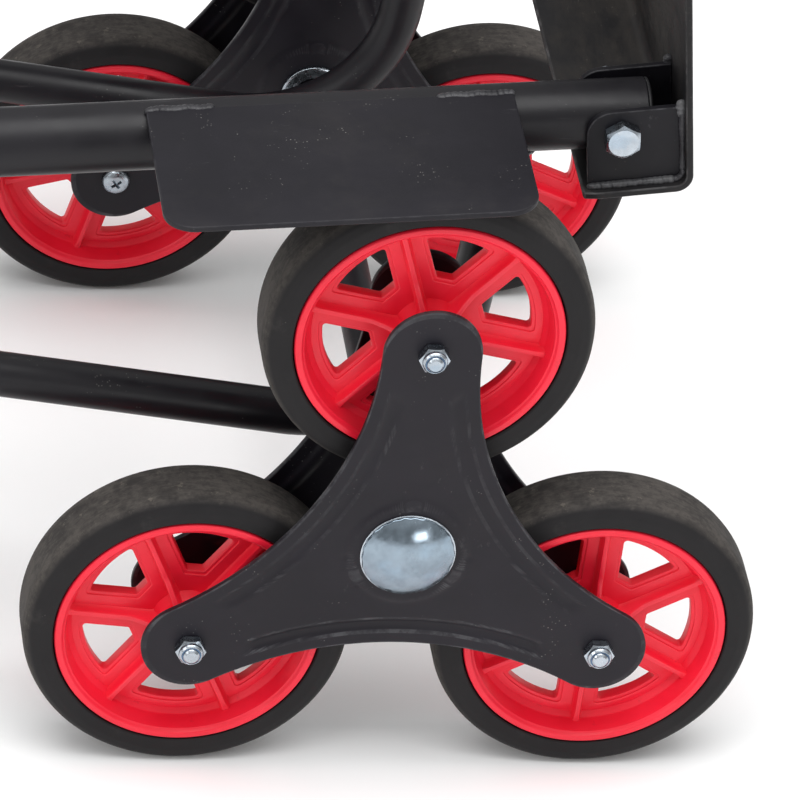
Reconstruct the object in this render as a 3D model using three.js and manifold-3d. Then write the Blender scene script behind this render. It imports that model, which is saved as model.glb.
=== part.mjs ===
// Stair-climbing hand truck lying on its back: two tri-star wheel sets on one axle, a tubular frame
// with a bent-back handle, and a toe plate that folds about two pivot bolts.
// Millimetres. World frame: +X towards the toe plate, +Y towards the left rail, +Z up.
// The origin is on the floor, under the middle of the whole truck's box.
import * as THREE from "three";
import { mergeVertices } from "three/addons/utils/BufferGeometryUtils.js";
import Module from "manifold-3d";

const wasm = await Module();
wasm.setup();

// ---------------------------------------------------------------- driving dimensions
const GAP = 0.3; // clearance between pieces that touch
const WIDTH = 458.5; // over the two outer star plates
const AXLE_X = 424.94; // axle position along X, from the origin
const TILT = 4.78; // degrees by which the rails rise towards the toe plate when the truck lies down

// wheel sets
const ARM = 114.8; // hub centre to wheel bolt
const TYRE_R = 79.5;
const TYRE_W = 34.4;
const RIM_R = 64.5;
const WHEEL_SEGS = 30;
const PLATE_T = 3;
const STAR_T = 54.4; // outside to outside of the two star plates
const LOBE_R = 23.5;
const WAIST_R = 54; // hub centre to the nearest point of a concave side
const WHEEL_BOLT_R = 4;
const AXLE_R = 9.8;
const HUB_OD = 30;
const AXLE_Z = ARM / 2 + TYRE_R * Math.cos(Math.PI / WHEEL_SEGS);

// frame, in coordinates (s along the rail, y, h square to both) from the axle's centre
const RAIL_Y = 96.3; // rail centre from the outer face of the outer star plate
const RAIL_H = 181.4;
const RAIL_R = 16.5;
const RAIL_BORE = 14.8;
const RAIL_END = 121; // towards the toe plate
const RAIL_START = -640; // towards the handle
const BOW_R = 11;
const BOW_BORE = 9.5;
const CROSS_R = 11;
const CROSS_S = [-230, -400, -570];
const GUARD = { s0: -117, s1: 57, y0: -9.5, y1: 90.5, h: 196.3, t: 3, r: 15 };
const HANDLE_R = 13.8;
const HANDLE_BORE = 12;
const HANDLE_IN = -560; // where the handle tube ends inside the rail
const HANDLE_BEND = { s: -790, r: 100, deg: 50 };
const HANDLE_CORNER = 60;
const GRIP_R = 18;
const GRIP_L = 140;

// toe plate, in coordinates (a along the flange, y, b up the plate) from the pivot
const PIVOT_S = 107;
const TOE_LEAN = 3; // degrees that the plate leans over the rails
const TOE = { y0: 70, a0: -19.5, aIn: 29.8, t: 3.5, bFlange: -27.5, bTop: 212, bend: 5, corner: 22 };
const EAR = { t: 3.5, gap: 0.45, a0: -16.5, bTop: 13.2, r: 12 };
const PIVOT_R = 5;

// ---------------------------------------------------------------- helpers
const rad = THREE.MathUtils.degToRad;

// Turns a closed three.js geometry into a solid, faces outwards.
function solid(geometry) {
  const g = geometry.clone();
  g.deleteAttribute("normal");
  g.deleteAttribute("uv");
  const m = mergeVertices(g, 1e-4);
  const p = m.attributes.position.array;
  let tri = Array.from(m.index.array);
  const out = [];
  let v6 = 0;
  for (let i = 0; i < tri.length; i += 3) {
    const [a, b, c] = [tri[i], tri[i + 1], tri[i + 2]];
    if (a === b || b === c || a === c) continue;
    out.push(a, b, c);
    const A = new THREE.Vector3().fromArray(p, a * 3);
    const B = new THREE.Vector3().fromArray(p, b * 3);
    const C = new THREE.Vector3().fromArray(p, c * 3);
    v6 += A.dot(B.cross(C));
  }
  if (v6 < 0) for (let i = 0; i < out.length; i += 3) [out[i + 1], out[i + 2]] = [out[i + 2], out[i + 1]];
  return new wasm.Manifold(
    new wasm.Mesh({ numProp: 3, vertProperties: new Float32Array(p), triVerts: new Uint32Array(out) }),
  );
}

function geometryOf(s) {
  const m = s.getMesh();
  const n = m.numProp;
  const v = new Float32Array(m.numVert * 3);
  for (let i = 0; i < m.numVert; i++) v.set(m.vertProperties.subarray(i * n, i * n + 3), i * 3);
  const g = new THREE.BufferGeometry();
  g.setAttribute("position", new THREE.BufferAttribute(v, 3));
  g.setIndex(new THREE.BufferAttribute(new Uint32Array(m.triVerts), 1));
  g.computeVertexNormals();
  return g;
}

// Solid of revolution about a line parallel to Y; profile is [radius, y] pairs.
function turnedY(profile, segs, x = 0, z = 0, phase = 0) {
  const g = new THREE.LatheGeometry(profile.map(([r, y]) => new THREE.Vector2(r, y)), segs, phase, 2 * Math.PI);
  return solid(g.translate(x, 0, z));
}
function ringProfile(r0, r1, y0, y1) {
  return [[r0, y0], [r1, y0], [r1, y1], [r0, y1], [r0, y0]];
}
function barY(r, y0, y1, x, z, segs = 16, phase = 0) {
  return turnedY([[0, y0], [r, y0], [r, y1], [0, y1]], segs, x, z, phase);
}
// The same about a line parallel to X; profile is [radius, x] pairs.
function turnedX(profile, segs, y, z) {
  const g = new THREE.LatheGeometry(profile.map(([r, x]) => new THREE.Vector2(r, x)), segs);
  return solid(g.rotateZ(-Math.PI / 2).translate(0, y, z));
}
// A flat outline in X and Z, from y0 to y1.
function slabY(shape, y0, y1, curveSegments = 8) {
  const g = new THREE.ExtrudeGeometry(shape, { depth: y1 - y0, bevelEnabled: false, curveSegments });
  return solid(g.rotateX(Math.PI / 2).translate(0, y1, 0));
}
// A flat outline in X and Y, from z0 to z1.
function slabZ(shape, z0, z1, curveSegments = 8) {
  const g = new THREE.ExtrudeGeometry(shape, { depth: z1 - z0, bevelEnabled: false, curveSegments });
  return solid(g.translate(0, 0, z0));
}

// A path through given points, with one ring of the swept section at each of them.
class RoutePath extends THREE.Curve {
  constructor(points) {
    super();
    this.points = points;
  }
  getPoint(t) {
    const n = this.points.length - 1;
    const f = Math.min(Math.max(t, 0), 1) * n;
    const i = Math.min(Math.floor(f), n - 1);
    return this.points[i].clone().lerp(this.points[i + 1], f - i);
  }
  getPointAt(t) {
    return this.getPoint(t);
  }
  getTangentAt(t) {
    const n = this.points.length - 1;
    const i = Math.round(t * n);
    const d = new THREE.Vector3();
    if (i > 0) d.add(this.points[i].clone().sub(this.points[i - 1]).normalize());
    if (i < n) d.add(this.points[i + 1].clone().sub(this.points[i]).normalize());
    return d.normalize();
  }
  getTangent(t) {
    return this.getTangentAt(t);
  }
  getSpacedPoints(divisions) {
    return Array.from({ length: divisions + 1 }, (_, i) => this.getPoint(i / divisions));
  }
}
// Corner points joined by straights, each inner corner rounded to its radius.
function route(corners, radii, stepDeg = 12) {
  const out = [corners[0].clone()];
  for (let i = 1; i < corners.length - 1; i++) {
    const a = corners[i - 1].clone().sub(corners[i]).normalize();
    const b = corners[i + 1].clone().sub(corners[i]).normalize();
    const turn = Math.PI - a.angleTo(b);
    const r = radii[i - 1];
    const reach = r * Math.tan(turn / 2);
    const centre = corners[i].clone().add(a.clone().add(b).normalize().multiplyScalar(r / Math.cos(turn / 2)));
    const from = corners[i].clone().addScaledVector(a, reach).sub(centre);
    const axis = from.clone().cross(corners[i].clone().addScaledVector(b, reach).sub(centre)).normalize();
    const n = Math.max(2, Math.ceil(THREE.MathUtils.radToDeg(turn) / stepDeg));
    for (let k = 0; k <= n; k++) out.push(from.clone().applyAxisAngle(axis, (turn * k) / n).add(centre));
  }
  out.push(corners[corners.length - 1].clone());
  return out;
}
function circlePoints(r, n) {
  return Array.from({ length: n }, (_, i) => {
    const t = (2 * Math.PI * (i + 0.5)) / n;
    return new THREE.Vector2(r * Math.cos(t), r * Math.sin(t));
  });
}
function pipe(points, rOut, rIn, sides) {
  const shape = new THREE.Shape(circlePoints(rOut, sides));
  if (rIn > 0) shape.holes.push(new THREE.Path(circlePoints(rIn, sides).reverse()));
  return solid(
    new THREE.ExtrudeGeometry(shape, { steps: points.length - 1, bevelEnabled: false, extrudePath: new RoutePath(points) }),
  );
}
const V = (x, y, z) => new THREE.Vector3(x, y, z);

// ---------------------------------------------------------------- materials
const steelBlack = { color: 0x1b1b1d, roughness: 0.48, metalness: 0.25 };
const steelGrey = { color: 0x2b2b2e, roughness: 0.5, metalness: 0.25 };
const zinc = { color: 0xb9c0c6, roughness: 0.3, metalness: 1 };
const rubber = { color: 0x1f1e1d, roughness: 0.85, metalness: 0 };
const redPlastic = { color: 0xd31522, roughness: 0.38, metalness: 0 };
const blackPlastic = { color: 0x121213, roughness: 0.6, metalness: 0 };

const root = new THREE.Group();
const frameGroup = new THREE.Group(); // rails' own coordinates, tilted with the rails
const axleGroup = new THREE.Group(); // level, at the axle
const toeGroup = new THREE.Group(); // at the pivots
axleGroup.position.set(AXLE_X, -WIDTH / 2, AXLE_Z);
frameGroup.rotation.y = -rad(TILT);
toeGroup.position.set(PIVOT_S, 0, RAIL_H);
toeGroup.rotation.y = -rad(TOE_LEAN);
axleGroup.add(frameGroup);
frameGroup.add(toeGroup);
root.add(axleGroup);

function add(group, name, s, look) {
  const m = new THREE.Mesh(geometryOf(s), new THREE.MeshStandardMaterial(look));
  m.name = name;
  group.add(m);
  return m;
}
// Mirrors a solid made for the right side (y = 0 at its outer star plate) to the left side.
function leftOf(s) {
  return s.mirror([0, 1, 0]).translate([0, WIDTH, 0]);
}
function both(group, name, s, look) {
  add(group, name + "_right", s, look);
  add(group, name + "_left", leftOf(s), look);
}

// ---------------------------------------------------------------- frame
const rail = turnedX(
  [[RAIL_BORE, RAIL_START], [RAIL_R, RAIL_START], [RAIL_R, RAIL_END], [RAIL_BORE, RAIL_END], [RAIL_BORE, RAIL_START]],
  20, RAIL_Y, RAIL_H,
);
const railDrilled = rail
  .subtract(barY(PIVOT_R + GAP, RAIL_Y - 30, RAIL_Y + 30, PIVOT_S, RAIL_H))
  .subtract(barY(3.4, RAIL_Y - 30, RAIL_Y + 30, HANDLE_IN - 40, RAIL_H, 12));
both(frameGroup, "rail", railDrilled, steelBlack);

const plug = turnedX(
  [[0, 113.6], [RAIL_BORE - 0.4, 113.6], [RAIL_BORE - 0.4, RAIL_END + GAP], [RAIL_R - 0.3, RAIL_END + GAP], [RAIL_R - 0.8, RAIL_END + 2], [0, RAIL_END + 2.4]],
  20, RAIL_Y, RAIL_H,
);
both(frameGroup, "rail_plug", plug, blackPlastic);

// Bow tube: from the rail, straight down to the axle, over it, and steeply up to the rail again.
const bowPoints = route(
  [V(-560, 0, RAIL_H), V(-508, 0, 120.9), V(25.4, 0, 0.35), V(59.2, 0, RAIL_H)],
  [70, 74],
  11.6,
);
const railClear = turnedX([[0, RAIL_START - 5], [RAIL_R + GAP, RAIL_START - 5], [RAIL_R + GAP, RAIL_END + 5], [0, RAIL_END + 5]], 20, 0, RAIL_H);
const bow = pipe(bowPoints, BOW_R, BOW_BORE, 10).subtract(railClear).translate([0, RAIL_Y, 0]);
both(frameGroup, "bow_tube", bow.decompose().sort((a, b) => b.volume() - a.volume())[0], steelBlack);

const crossEnd = RAIL_Y + RAIL_R * 0.72;
const railsClear = railClear.translate([0, RAIL_Y, 0]).add(railClear.translate([0, WIDTH - RAIL_Y, 0]));
["cross_bar_lower", "cross_bar_middle", "cross_bar_upper"].forEach((name, i) => {
  const s = turnedY(ringProfile(CROSS_R - 1.6, CROSS_R, crossEnd, WIDTH - crossEnd), 16, CROSS_S[i], RAIL_H).subtract(railsClear);
  add(frameGroup, name, s.decompose().sort((a, b) => b.volume() - a.volume())[0], steelBlack);
});

// Guard over each wheel set: a flat plate welded along the top of the rail.
{
  const { s0, s1, y0, y1, h, t, r } = GUARD;
  const o = new THREE.Shape();
  o.moveTo(s0 + r, y0);
  o.lineTo(s1 - r, y0);
  o.absarc(s1 - r, y0 + r, r, -Math.PI / 2, 0);
  o.lineTo(s1, y1);
  o.lineTo(s0, y1);
  o.lineTo(s0, y0 + r);
  o.absarc(s0 + r, y0 + r, r, Math.PI, 1.5 * Math.PI);
  both(frameGroup, "wheel_guard", slabZ(o, h, h + t, 5).subtract(railClear.translate([0, RAIL_Y, 0])), steelGrey);
}

// Handle: a U of thinner tube pushed into both rails, bent back towards the wheels.
const bendDir = rad(HANDLE_BEND.deg);
const gripZ = GRIP_R * Math.cos(Math.PI / 20);
const tilt = rad(TILT);
// world height of a point (s, h) of the rail coordinates is AXLE_Z + s sin(tilt) + h cos(tilt)
const bendReach = HANDLE_BEND.r * Math.tan(bendDir / 2);
const bendCorner = V(HANDLE_BEND.s - bendReach, 0, RAIL_H);
const slope = V(-Math.cos(bendDir), 0, -Math.sin(bendDir));
const heightAt = (p) => AXLE_Z + p.x * Math.sin(tilt) + p.z * Math.cos(tilt);
const run = (heightAt(bendCorner) - gripZ) / -(slope.x * Math.sin(tilt) + slope.z * Math.cos(tilt));
const gripCentre = bendCorner.clone().addScaledVector(slope, run);
const handlePoints = route(
  [
    V(HANDLE_IN, RAIL_Y, RAIL_H),
    bendCorner.clone().setY(RAIL_Y),
    gripCentre.clone().setY(RAIL_Y),
    gripCentre.clone().setY(WIDTH - RAIL_Y),
    bendCorner.clone().setY(WIDTH - RAIL_Y),
    V(HANDLE_IN, WIDTH - RAIL_Y, RAIL_H),
  ],
  [HANDLE_BEND.r, HANDLE_CORNER, HANDLE_CORNER, HANDLE_BEND.r],
  15.1,
);
const handle = pipe(handlePoints, HANDLE_R, HANDLE_BORE, 8)
  .subtract(barY(3.4, 0, WIDTH, HANDLE_IN - 40, RAIL_H, 12));
add(frameGroup, "handle_bow", handle, steelBlack);
const handleBolt = turnedY(
  [[0, RAIL_Y - RAIL_R - 3.2], [3.4, RAIL_Y - RAIL_R - 2.8], [5.4, RAIL_Y - RAIL_R - GAP], [3, RAIL_Y - RAIL_R - GAP],
   [3, RAIL_Y + RAIL_R + GAP], [5.4, RAIL_Y + RAIL_R + GAP], [5.4, RAIL_Y + RAIL_R + 4.5], [0, RAIL_Y + RAIL_R + 5]],
  12, HANDLE_IN - 40, RAIL_H,
);
both(frameGroup, "handle_bolt", handleBolt, zinc);

// Grip: level, so that a flat of its facets lies on the floor.
const gripWorld = V(
  gripCentre.x * Math.cos(tilt) - gripCentre.z * Math.sin(tilt), 0,
  gripCentre.x * Math.sin(tilt) + gripCentre.z * Math.cos(tilt),
);
{
  const y0 = WIDTH / 2 - GRIP_L / 2;
  const y1 = WIDTH / 2 + GRIP_L / 2;
  add(
    axleGroup, "handle_grip",
    turnedY([[HANDLE_R + 0.5, y0], [GRIP_R - 1, y0], [GRIP_R, y0 + 1.5], [GRIP_R, y1 - 1.5], [GRIP_R - 1, y1], [HANDLE_R + 0.5, y1], [HANDLE_R + 0.5, y0]], 20, gripWorld.x, gripWorld.z, Math.PI / 20),
    rubber,
  );
}

// ---------------------------------------------------------------- axle and its end fittings
add(axleGroup, "axle", barY(AXLE_R, -3, WIDTH + 3, 0, 0, 20), steelBlack);
const cap = turnedY(
  [[0, -11], [10, -10.5], [17.5, -8.8], [21.5, -6], [22.5, -3.5], [22.5, -0.4], [20.9, -0.4], [20.9, -3.6], [16, -7], [0, -9]],
  20,
);
both(axleGroup, "hub_cap", cap, zinc);
both(axleGroup, "hub_washer", turnedY(ringProfile(AXLE_R + 0.5, 17.5, STAR_T + GAP, STAR_T + 2.6), 24), zinc);

// ---------------------------------------------------------------- tri-star wheel sets
function starOutline() {
  // Concave sides are arcs tangent to the round lobes.
  const half = ARM * Math.cos(rad(30)), low = ARM / 2;
  // (d - WAIST_R + LOBE_R)^2 = half^2 + (d - low)^2, with d the arc centre's distance from the hub
  const k = WAIST_R - LOBE_R;
  const d = (half * half + low * low - k * k) / (2 * (low - k));
  const R = d - WAIST_R;
  const pts = [];
  for (let side = 0; side < 3; side++) {
    const turn = rad(120 * side);
    const put = (x, z) => pts.push(new THREE.Vector2(x * Math.cos(turn) - z * Math.sin(turn), x * Math.sin(turn) + z * Math.cos(turn)));
    // concave arc under the hub, from the left lobe to the right lobe
    const a = Math.atan2(half, d - low);
    for (let i = 0; i <= 6; i++) {
      const t = -a + (2 * a * i) / 6;
      put(R * Math.sin(t), -d + R * Math.cos(t));
    }
    // round lobe at lower right
    const from = Math.atan2(-(d - low), -half); // towards the arc centre
    const start = from;
    const sweep = 2 * Math.PI - 2 * Math.abs(rad(-30) - from) > 0 ? 2 * (rad(-30) - from) : 0;
    for (let i = 1; i < 8; i++) {
      const t = start + (sweep * i) / 8;
      put(half + LOBE_R * Math.cos(t), -low + LOBE_R * Math.sin(t));
    }
  }
  return new THREE.Shape(pts);
}
const arms = [90, 210, 330].map((a) => [ARM * Math.cos(rad(a)), ARM * Math.sin(rad(a))]);
const ARM_NAMES = ["top", "back", "front"]; // back is towards the handle, front towards the toe plate

function starPlate(y0) {
  let s = slabY(starOutline(), y0, y0 + PLATE_T).subtract(barY(AXLE_R + 0.8, y0 - 1, y0 + PLATE_T + 1, 0, 0, 20));
  for (const [x, z] of arms) s = s.subtract(barY(WHEEL_BOLT_R + GAP, y0 - 1, y0 + PLATE_T + 1, x, z, 12));
  return s;
}
both(axleGroup, "star_plate_outer", starPlate(0), steelGrey);
both(axleGroup, "star_plate_inner", starPlate(STAR_T - PLATE_T), steelGrey);
both(axleGroup, "star_hub", turnedY(ringProfile(AXLE_R + 0.6, HUB_OD / 2, PLATE_T + GAP, STAR_T - PLATE_T - GAP), 20), steelBlack);

const wheelMid = STAR_T / 2;
const w0 = wheelMid - TYRE_W / 2, w1 = wheelMid + TYRE_W / 2;
const phase = Math.PI / WHEEL_SEGS; // a flat of the tyre's facets is at the bottom
function tyre(x, z) {
  const r0 = RIM_R + GAP;
  return turnedY(
    [[r0, w0 + 0.4], [TYRE_R - 8, w0], [TYRE_R - 2.2, w0 + 3.4], [TYRE_R, w0 + 7], [TYRE_R, w1 - 7], [TYRE_R - 2.2, w1 - 3.4], [TYRE_R - 8, w1], [r0, w1 - 0.4], [r0, w0 + 0.4]],
    WHEEL_SEGS, x, z, phase,
  );
}
const WINDOW = new THREE.Shape();
{
  // Between two spokes: sides parallel to them, a clipped point towards the hub, a wide outer end.
  const off = 10, inner = 27.3, outer = 49.5;
  const apex = off / Math.sin(rad(30));
  const c = Math.cos(rad(30)), s = Math.sin(rad(30));
  const along = (t) => [apex + t * c, t * s];
  const t1 = (inner - apex) / c;
  const t2 = -apex * c + Math.sqrt(apex * apex * c * c - apex * apex + outer * outer);
  const [ax, ay] = along(t1), [bx, by] = along(t2);
  WINDOW.moveTo(ax, ay);
  WINDOW.lineTo(ax, -ay);
  WINDOW.lineTo(bx, -by);
  WINDOW.lineTo(outer - 0.2, 0);
  WINDOW.lineTo(bx, by);
}
function rim(x, z, spokeDeg) {
  const web0 = wheelMid - 4, web1 = wheelMid + 4;
  let s = turnedY(
    [[WHEEL_BOLT_R + 0.3, 4.2], [13, 4.2], [15, web0], [57, web0], [60.3, w0], [RIM_R, w0], [RIM_R, w1], [60.3, w1], [57, web1], [15, web1], [13, STAR_T - 4.2], [WHEEL_BOLT_R + 0.3, STAR_T - 4.2], [WHEEL_BOLT_R + 0.3, 4.2]],
    WHEEL_SEGS, x, z, phase,
  );
  for (let i = 0; i < 6; i++) {
    const g = new THREE.ExtrudeGeometry(WINDOW, { depth: 20, bevelEnabled: false });
    g.rotateX(Math.PI / 2).translate(0, wheelMid + 10, 0);
    g.rotateY(-rad(spokeDeg + 30 + 60 * i)).translate(x, 0, z);
    s = s.subtract(solid(g));
  }
  // A thin rib along each spoke, on both faces of the web, rising to meet the hub.
  for (const far of [false, true]) {
    const rib = new THREE.Shape();
    [[12, web0 + 1], [12, 10.5], [17, 12.6], [22, 15.6], [28, 18], [59.2, 18.4], [59.2, web0 + 1]].forEach(([r, y], i) =>
      i ? rib.lineTo(r, far ? STAR_T - y : y) : rib.moveTo(r, far ? STAR_T - y : y));
    for (let i = 0; i < 6; i++) {
      const g = new THREE.ExtrudeGeometry(rib, { depth: 3, bevelEnabled: false });
      g.translate(0, 0, -1.5).rotateY(-rad(spokeDeg + 60 * i)).translate(x, 0, z);
      s = s.add(solid(g));
    }
  }
  return s;
}
const SPOKES = { right: [48, 54.5, 29], left: [20, 15.5, 37] }; // spoke angle of each wheel as it stands

for (const side of ["right", "left"]) {
  const put = (name, s, look) => add(axleGroup, name, side === "right" ? s : leftOf(s), look);
  arms.forEach(([x, z], k) => {
    const n = ARM_NAMES[k] + "_" + side;
    put("tyre_" + n, tyre(x, z), rubber);
    put("rim_" + n, rim(x, z, SPOKES[side][k]), redPlastic);
    put(
      "wheel_bolt_" + n,
      turnedY([[0, -9.5], [WHEEL_BOLT_R - 0.6, -9.5], [WHEEL_BOLT_R, -8.9], [WHEEL_BOLT_R, STAR_T + GAP], [7.25, STAR_T + GAP], [7.25, STAR_T + 2.2], [5.2, STAR_T + 4.2], [0, STAR_T + 4.8]], 12, x, z),
      zinc,
    );
    put("wheel_nut_" + n, turnedY([[0, -0.4], [7.5, -0.4], [7.5, -6.4], [5.8, -8.2], [0, -8.2]], 6, x, z).subtract(barY(WHEEL_BOLT_R + 0.25, -20, 5, x, z, 12)), zinc);
  });
}

// ---------------------------------------------------------------- toe plate
{
  const { y0, a0, aIn, t, bFlange, bTop, bend, corner } = TOE;
  // Section of the bent plate in (a, b), extruded across the truck.
  const o = new THREE.Shape();
  o.moveTo(a0, bFlange - t);
  o.lineTo(aIn - bend, bFlange - t);
  o.absarc(aIn - bend, bFlange + bend, bend + t, -Math.PI / 2, 0);
  o.lineTo(aIn + t, bTop);
  o.lineTo(aIn, bTop);
  o.lineTo(aIn, bFlange + bend);
  o.absarc(aIn - bend, bFlange + bend, bend, 0, -Math.PI / 2, true);
  o.lineTo(a0, bFlange);
  let plate = slabY(o, y0, WIDTH - y0, 5);
  // Rounded free corners.
  for (const side of [0, 1]) {
    const yc = side ? WIDTH - y0 : y0;
    const dir = side ? -1 : 1;
    const c = new THREE.Shape();
    c.moveTo(yc - 5 * dir, bTop + 5);
    c.lineTo(yc - 5 * dir, bTop - corner);
    c.lineTo(yc, bTop - corner);
    for (let i = 1; i <= 6; i++) {
      const q = (Math.PI / 2) * (i / 6);
      c.lineTo(yc + dir * corner * (1 - Math.cos(q)), bTop - corner + corner * Math.sin(q));
    }
    c.lineTo(yc + dir * corner, bTop + 5);
    // outline in (y, b), cut along a
    const g = new THREE.ExtrudeGeometry(c, { depth: 30, bevelEnabled: false });
    const m = new THREE.Matrix4().makeBasis(V(0, 1, 0), V(0, 0, 1), V(1, 0, 0));
    plate = plate.subtract(solid(g.applyMatrix4(m).translate(aIn - 13, 0, 0)));
  }
  add(toeGroup, "toe_plate", plate, steelGrey);

  const ear = (yA) => {
    const e = new THREE.Shape();
    const aR = aIn - GAP, bL = bFlange + GAP;
    e.moveTo(EAR.a0, bL);
    e.lineTo(aR - bend, bL);
    e.lineTo(aR, bL + bend);
    e.lineTo(aR, EAR.bTop);
    e.lineTo(EAR.a0 + EAR.r, EAR.bTop);
    e.absarc(EAR.a0 + EAR.r, EAR.bTop - EAR.r, EAR.r, Math.PI / 2, Math.PI);
    return slabY(e, yA, yA + EAR.t, 6).subtract(barY(PIVOT_R + GAP, yA - 1, yA + EAR.t + 1, 0, 0));
  };
  const outerEar = RAIL_Y - RAIL_R - EAR.gap - EAR.t;
  const innerEar = RAIL_Y + RAIL_R + EAR.gap;
  both(toeGroup, "toe_ear_outer", ear(outerEar), steelGrey);
  both(toeGroup, "toe_ear_inner", ear(innerEar), steelGrey);

  const head = outerEar - GAP, far = innerEar + EAR.t + GAP;
  const hexHead = turnedY([[0, head - 6.4], [7.6, head - 6.4], [9.24, head - 5.4], [9.24, head], [0, head]], 6, PIVOT_S, RAIL_H);
  both(frameGroup, "pivot_bolt", hexHead.add(barY(PIVOT_R, head - 1, far + 11, PIVOT_S, RAIL_H)), zinc);
  const pivotNut = turnedY([[PIVOT_R + 0.3, far], [9.24, far], [9.24, far + 7.5], [PIVOT_R + 2, far + 9.6], [PIVOT_R + 0.3, far + 9.6], [PIVOT_R + 0.3, far]], 6, PIVOT_S, RAIL_H)
    .subtract(barY(PIVOT_R + 0.3, far - 2, far + 20, PIVOT_S, RAIL_H, 16));
  both(frameGroup, "pivot_nut", pivotNut, zinc);
}

export default root;
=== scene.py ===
import math

import bmesh
import bpy
import numpy as np
from mathutils import Matrix, Vector


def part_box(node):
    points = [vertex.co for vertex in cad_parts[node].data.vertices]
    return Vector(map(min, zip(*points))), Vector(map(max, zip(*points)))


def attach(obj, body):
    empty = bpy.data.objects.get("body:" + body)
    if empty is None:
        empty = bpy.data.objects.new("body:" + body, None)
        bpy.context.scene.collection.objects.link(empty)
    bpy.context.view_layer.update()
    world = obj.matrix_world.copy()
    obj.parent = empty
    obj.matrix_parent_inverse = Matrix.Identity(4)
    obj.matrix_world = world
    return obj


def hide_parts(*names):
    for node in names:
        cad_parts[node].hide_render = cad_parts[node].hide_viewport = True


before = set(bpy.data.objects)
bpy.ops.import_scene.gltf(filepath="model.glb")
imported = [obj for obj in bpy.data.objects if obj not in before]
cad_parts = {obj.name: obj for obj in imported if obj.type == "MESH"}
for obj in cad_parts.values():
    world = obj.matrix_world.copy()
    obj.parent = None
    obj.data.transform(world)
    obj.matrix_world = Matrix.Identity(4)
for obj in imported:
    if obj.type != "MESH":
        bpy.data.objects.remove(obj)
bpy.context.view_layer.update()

scene = bpy.context.scene
scene.view_settings.view_transform = "Standard"
scene.view_settings.look = "None"

# ------------------------------------------------------------------ sizes shared with the CAD source, in millimetres
GAP = 0.3
TILT = 4.78
ARM = 114.8
STAR_T = 54.4
PLATE_T = 3.0
LOBE_R = 23.5
WAIST_R = 54.0
TYRE_W = 34.4
RIM_R = 64.5
RAIL_Y, RAIL_H, RAIL_R = 96.3, 181.4, 16.5
RAIL_END, RAIL_START = 121.0, -640.0
BOW_R, CROSS_R = 11.0, 11.0
CROSS_S = (-230.0, -400.0, -570.0)
HANDLE_R, HANDLE_IN = 13.8, -560.0
PIVOT_S, TOE_LEAN = 107.0, 3.0
W0 = STAR_T / 2 - TYRE_W / 2
W1 = STAR_T / 2 + TYRE_W / 2

axle_lo, axle_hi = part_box("axle")
AX, AZ = (axle_lo.x + axle_hi.x) / 2, (axle_lo.z + axle_hi.z) / 2
Y0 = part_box("star_plate_outer_right")[0].y
WIDTH = -2000.0 * Y0
M_AXLE = Matrix.Translation((AX, Y0, AZ)) @ Matrix.Scale(0.001, 4)
M_RAIL = M_AXLE @ Matrix.Rotation(-math.radians(TILT), 4, "Y")
M_TOE = M_RAIL @ Matrix.Translation((PIVOT_S, 0, RAIL_H)) @ Matrix.Rotation(-math.radians(TOE_LEAN), 4, "Y")

# ------------------------------------------------------------------ camera and light
cam_data = bpy.data.cameras.new("camera")
cam_data.lens = 306.5643
cam_data.sensor_width = 36.0
cam_data.clip_start, cam_data.clip_end = 0.1, 100.0
cam = bpy.data.objects.new("camera", cam_data)
RIGHT = Vector((0.9869643, -0.1217004, 0.1053113))
DOWN = Vector((0.0156501, -0.5786785, -0.8154056))
FWD = Vector((0.1601766, 0.8064244, -0.5692304))
cam.matrix_world = Matrix.Translation((-0.09946, -2.803614, 2.042414)) @ Matrix((RIGHT, -DOWN, -FWD)).transposed().to_4x4()
scene.collection.objects.link(cam)
scene.camera = cam

world = bpy.data.worlds.new("studio")
scene.world = world
world.use_nodes = True
bg = world.node_tree.nodes["Background"]
sky = world.node_tree.nodes.new("ShaderNodeTexCoord")
split = world.node_tree.nodes.new("ShaderNodeSeparateXYZ")
ramp = world.node_tree.nodes.new("ShaderNodeMapRange")
ramp.interpolation_type = "SMOOTHSTEP"
ramp.inputs["From Min"].default_value, ramp.inputs["From Max"].default_value = 0.25, 0.80
ramp.inputs["To Min"].default_value, ramp.inputs["To Max"].default_value = 0.42, 1.0
world.node_tree.links.new(sky.outputs["Generated"], split.inputs[0])
world.node_tree.links.new(split.outputs[2], ramp.inputs["Value"])
world.node_tree.links.new(ramp.outputs[0], bg.inputs["Color"])
bg.inputs["Strength"].default_value = 0.90


def area_light(name, location, target, size, power, color=(1, 1, 1)):
    data = bpy.data.lights.new(name, "AREA")
    data.shape = "RECTANGLE"
    data.size, data.size_y = size
    data.energy = power
    data.color = color
    o = bpy.data.objects.new(name, data)
    o.location = location
    o.rotation_euler = (Vector(target) - Vector(location)).to_track_quat("-Z", "Y").to_euler()
    scene.collection.objects.link(o)
    return o


area_light("key", (0.3, -0.6, 3.2), (0.3, 0.0, 0.2), (3.4, 2.2), 84.0)
area_light("side", (-3.0, -2.2, 1.9), (0.3, 0.0, 0.2), (1.6, 1.8), 30.0)
area_light("front", (1.75, -3.5, 0.78), (0.3, 0.0, 0.2), (1.2, 0.7), 13.0)

# ------------------------------------------------------------------ node helpers
NOISE_DIMS = "3D"


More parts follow.
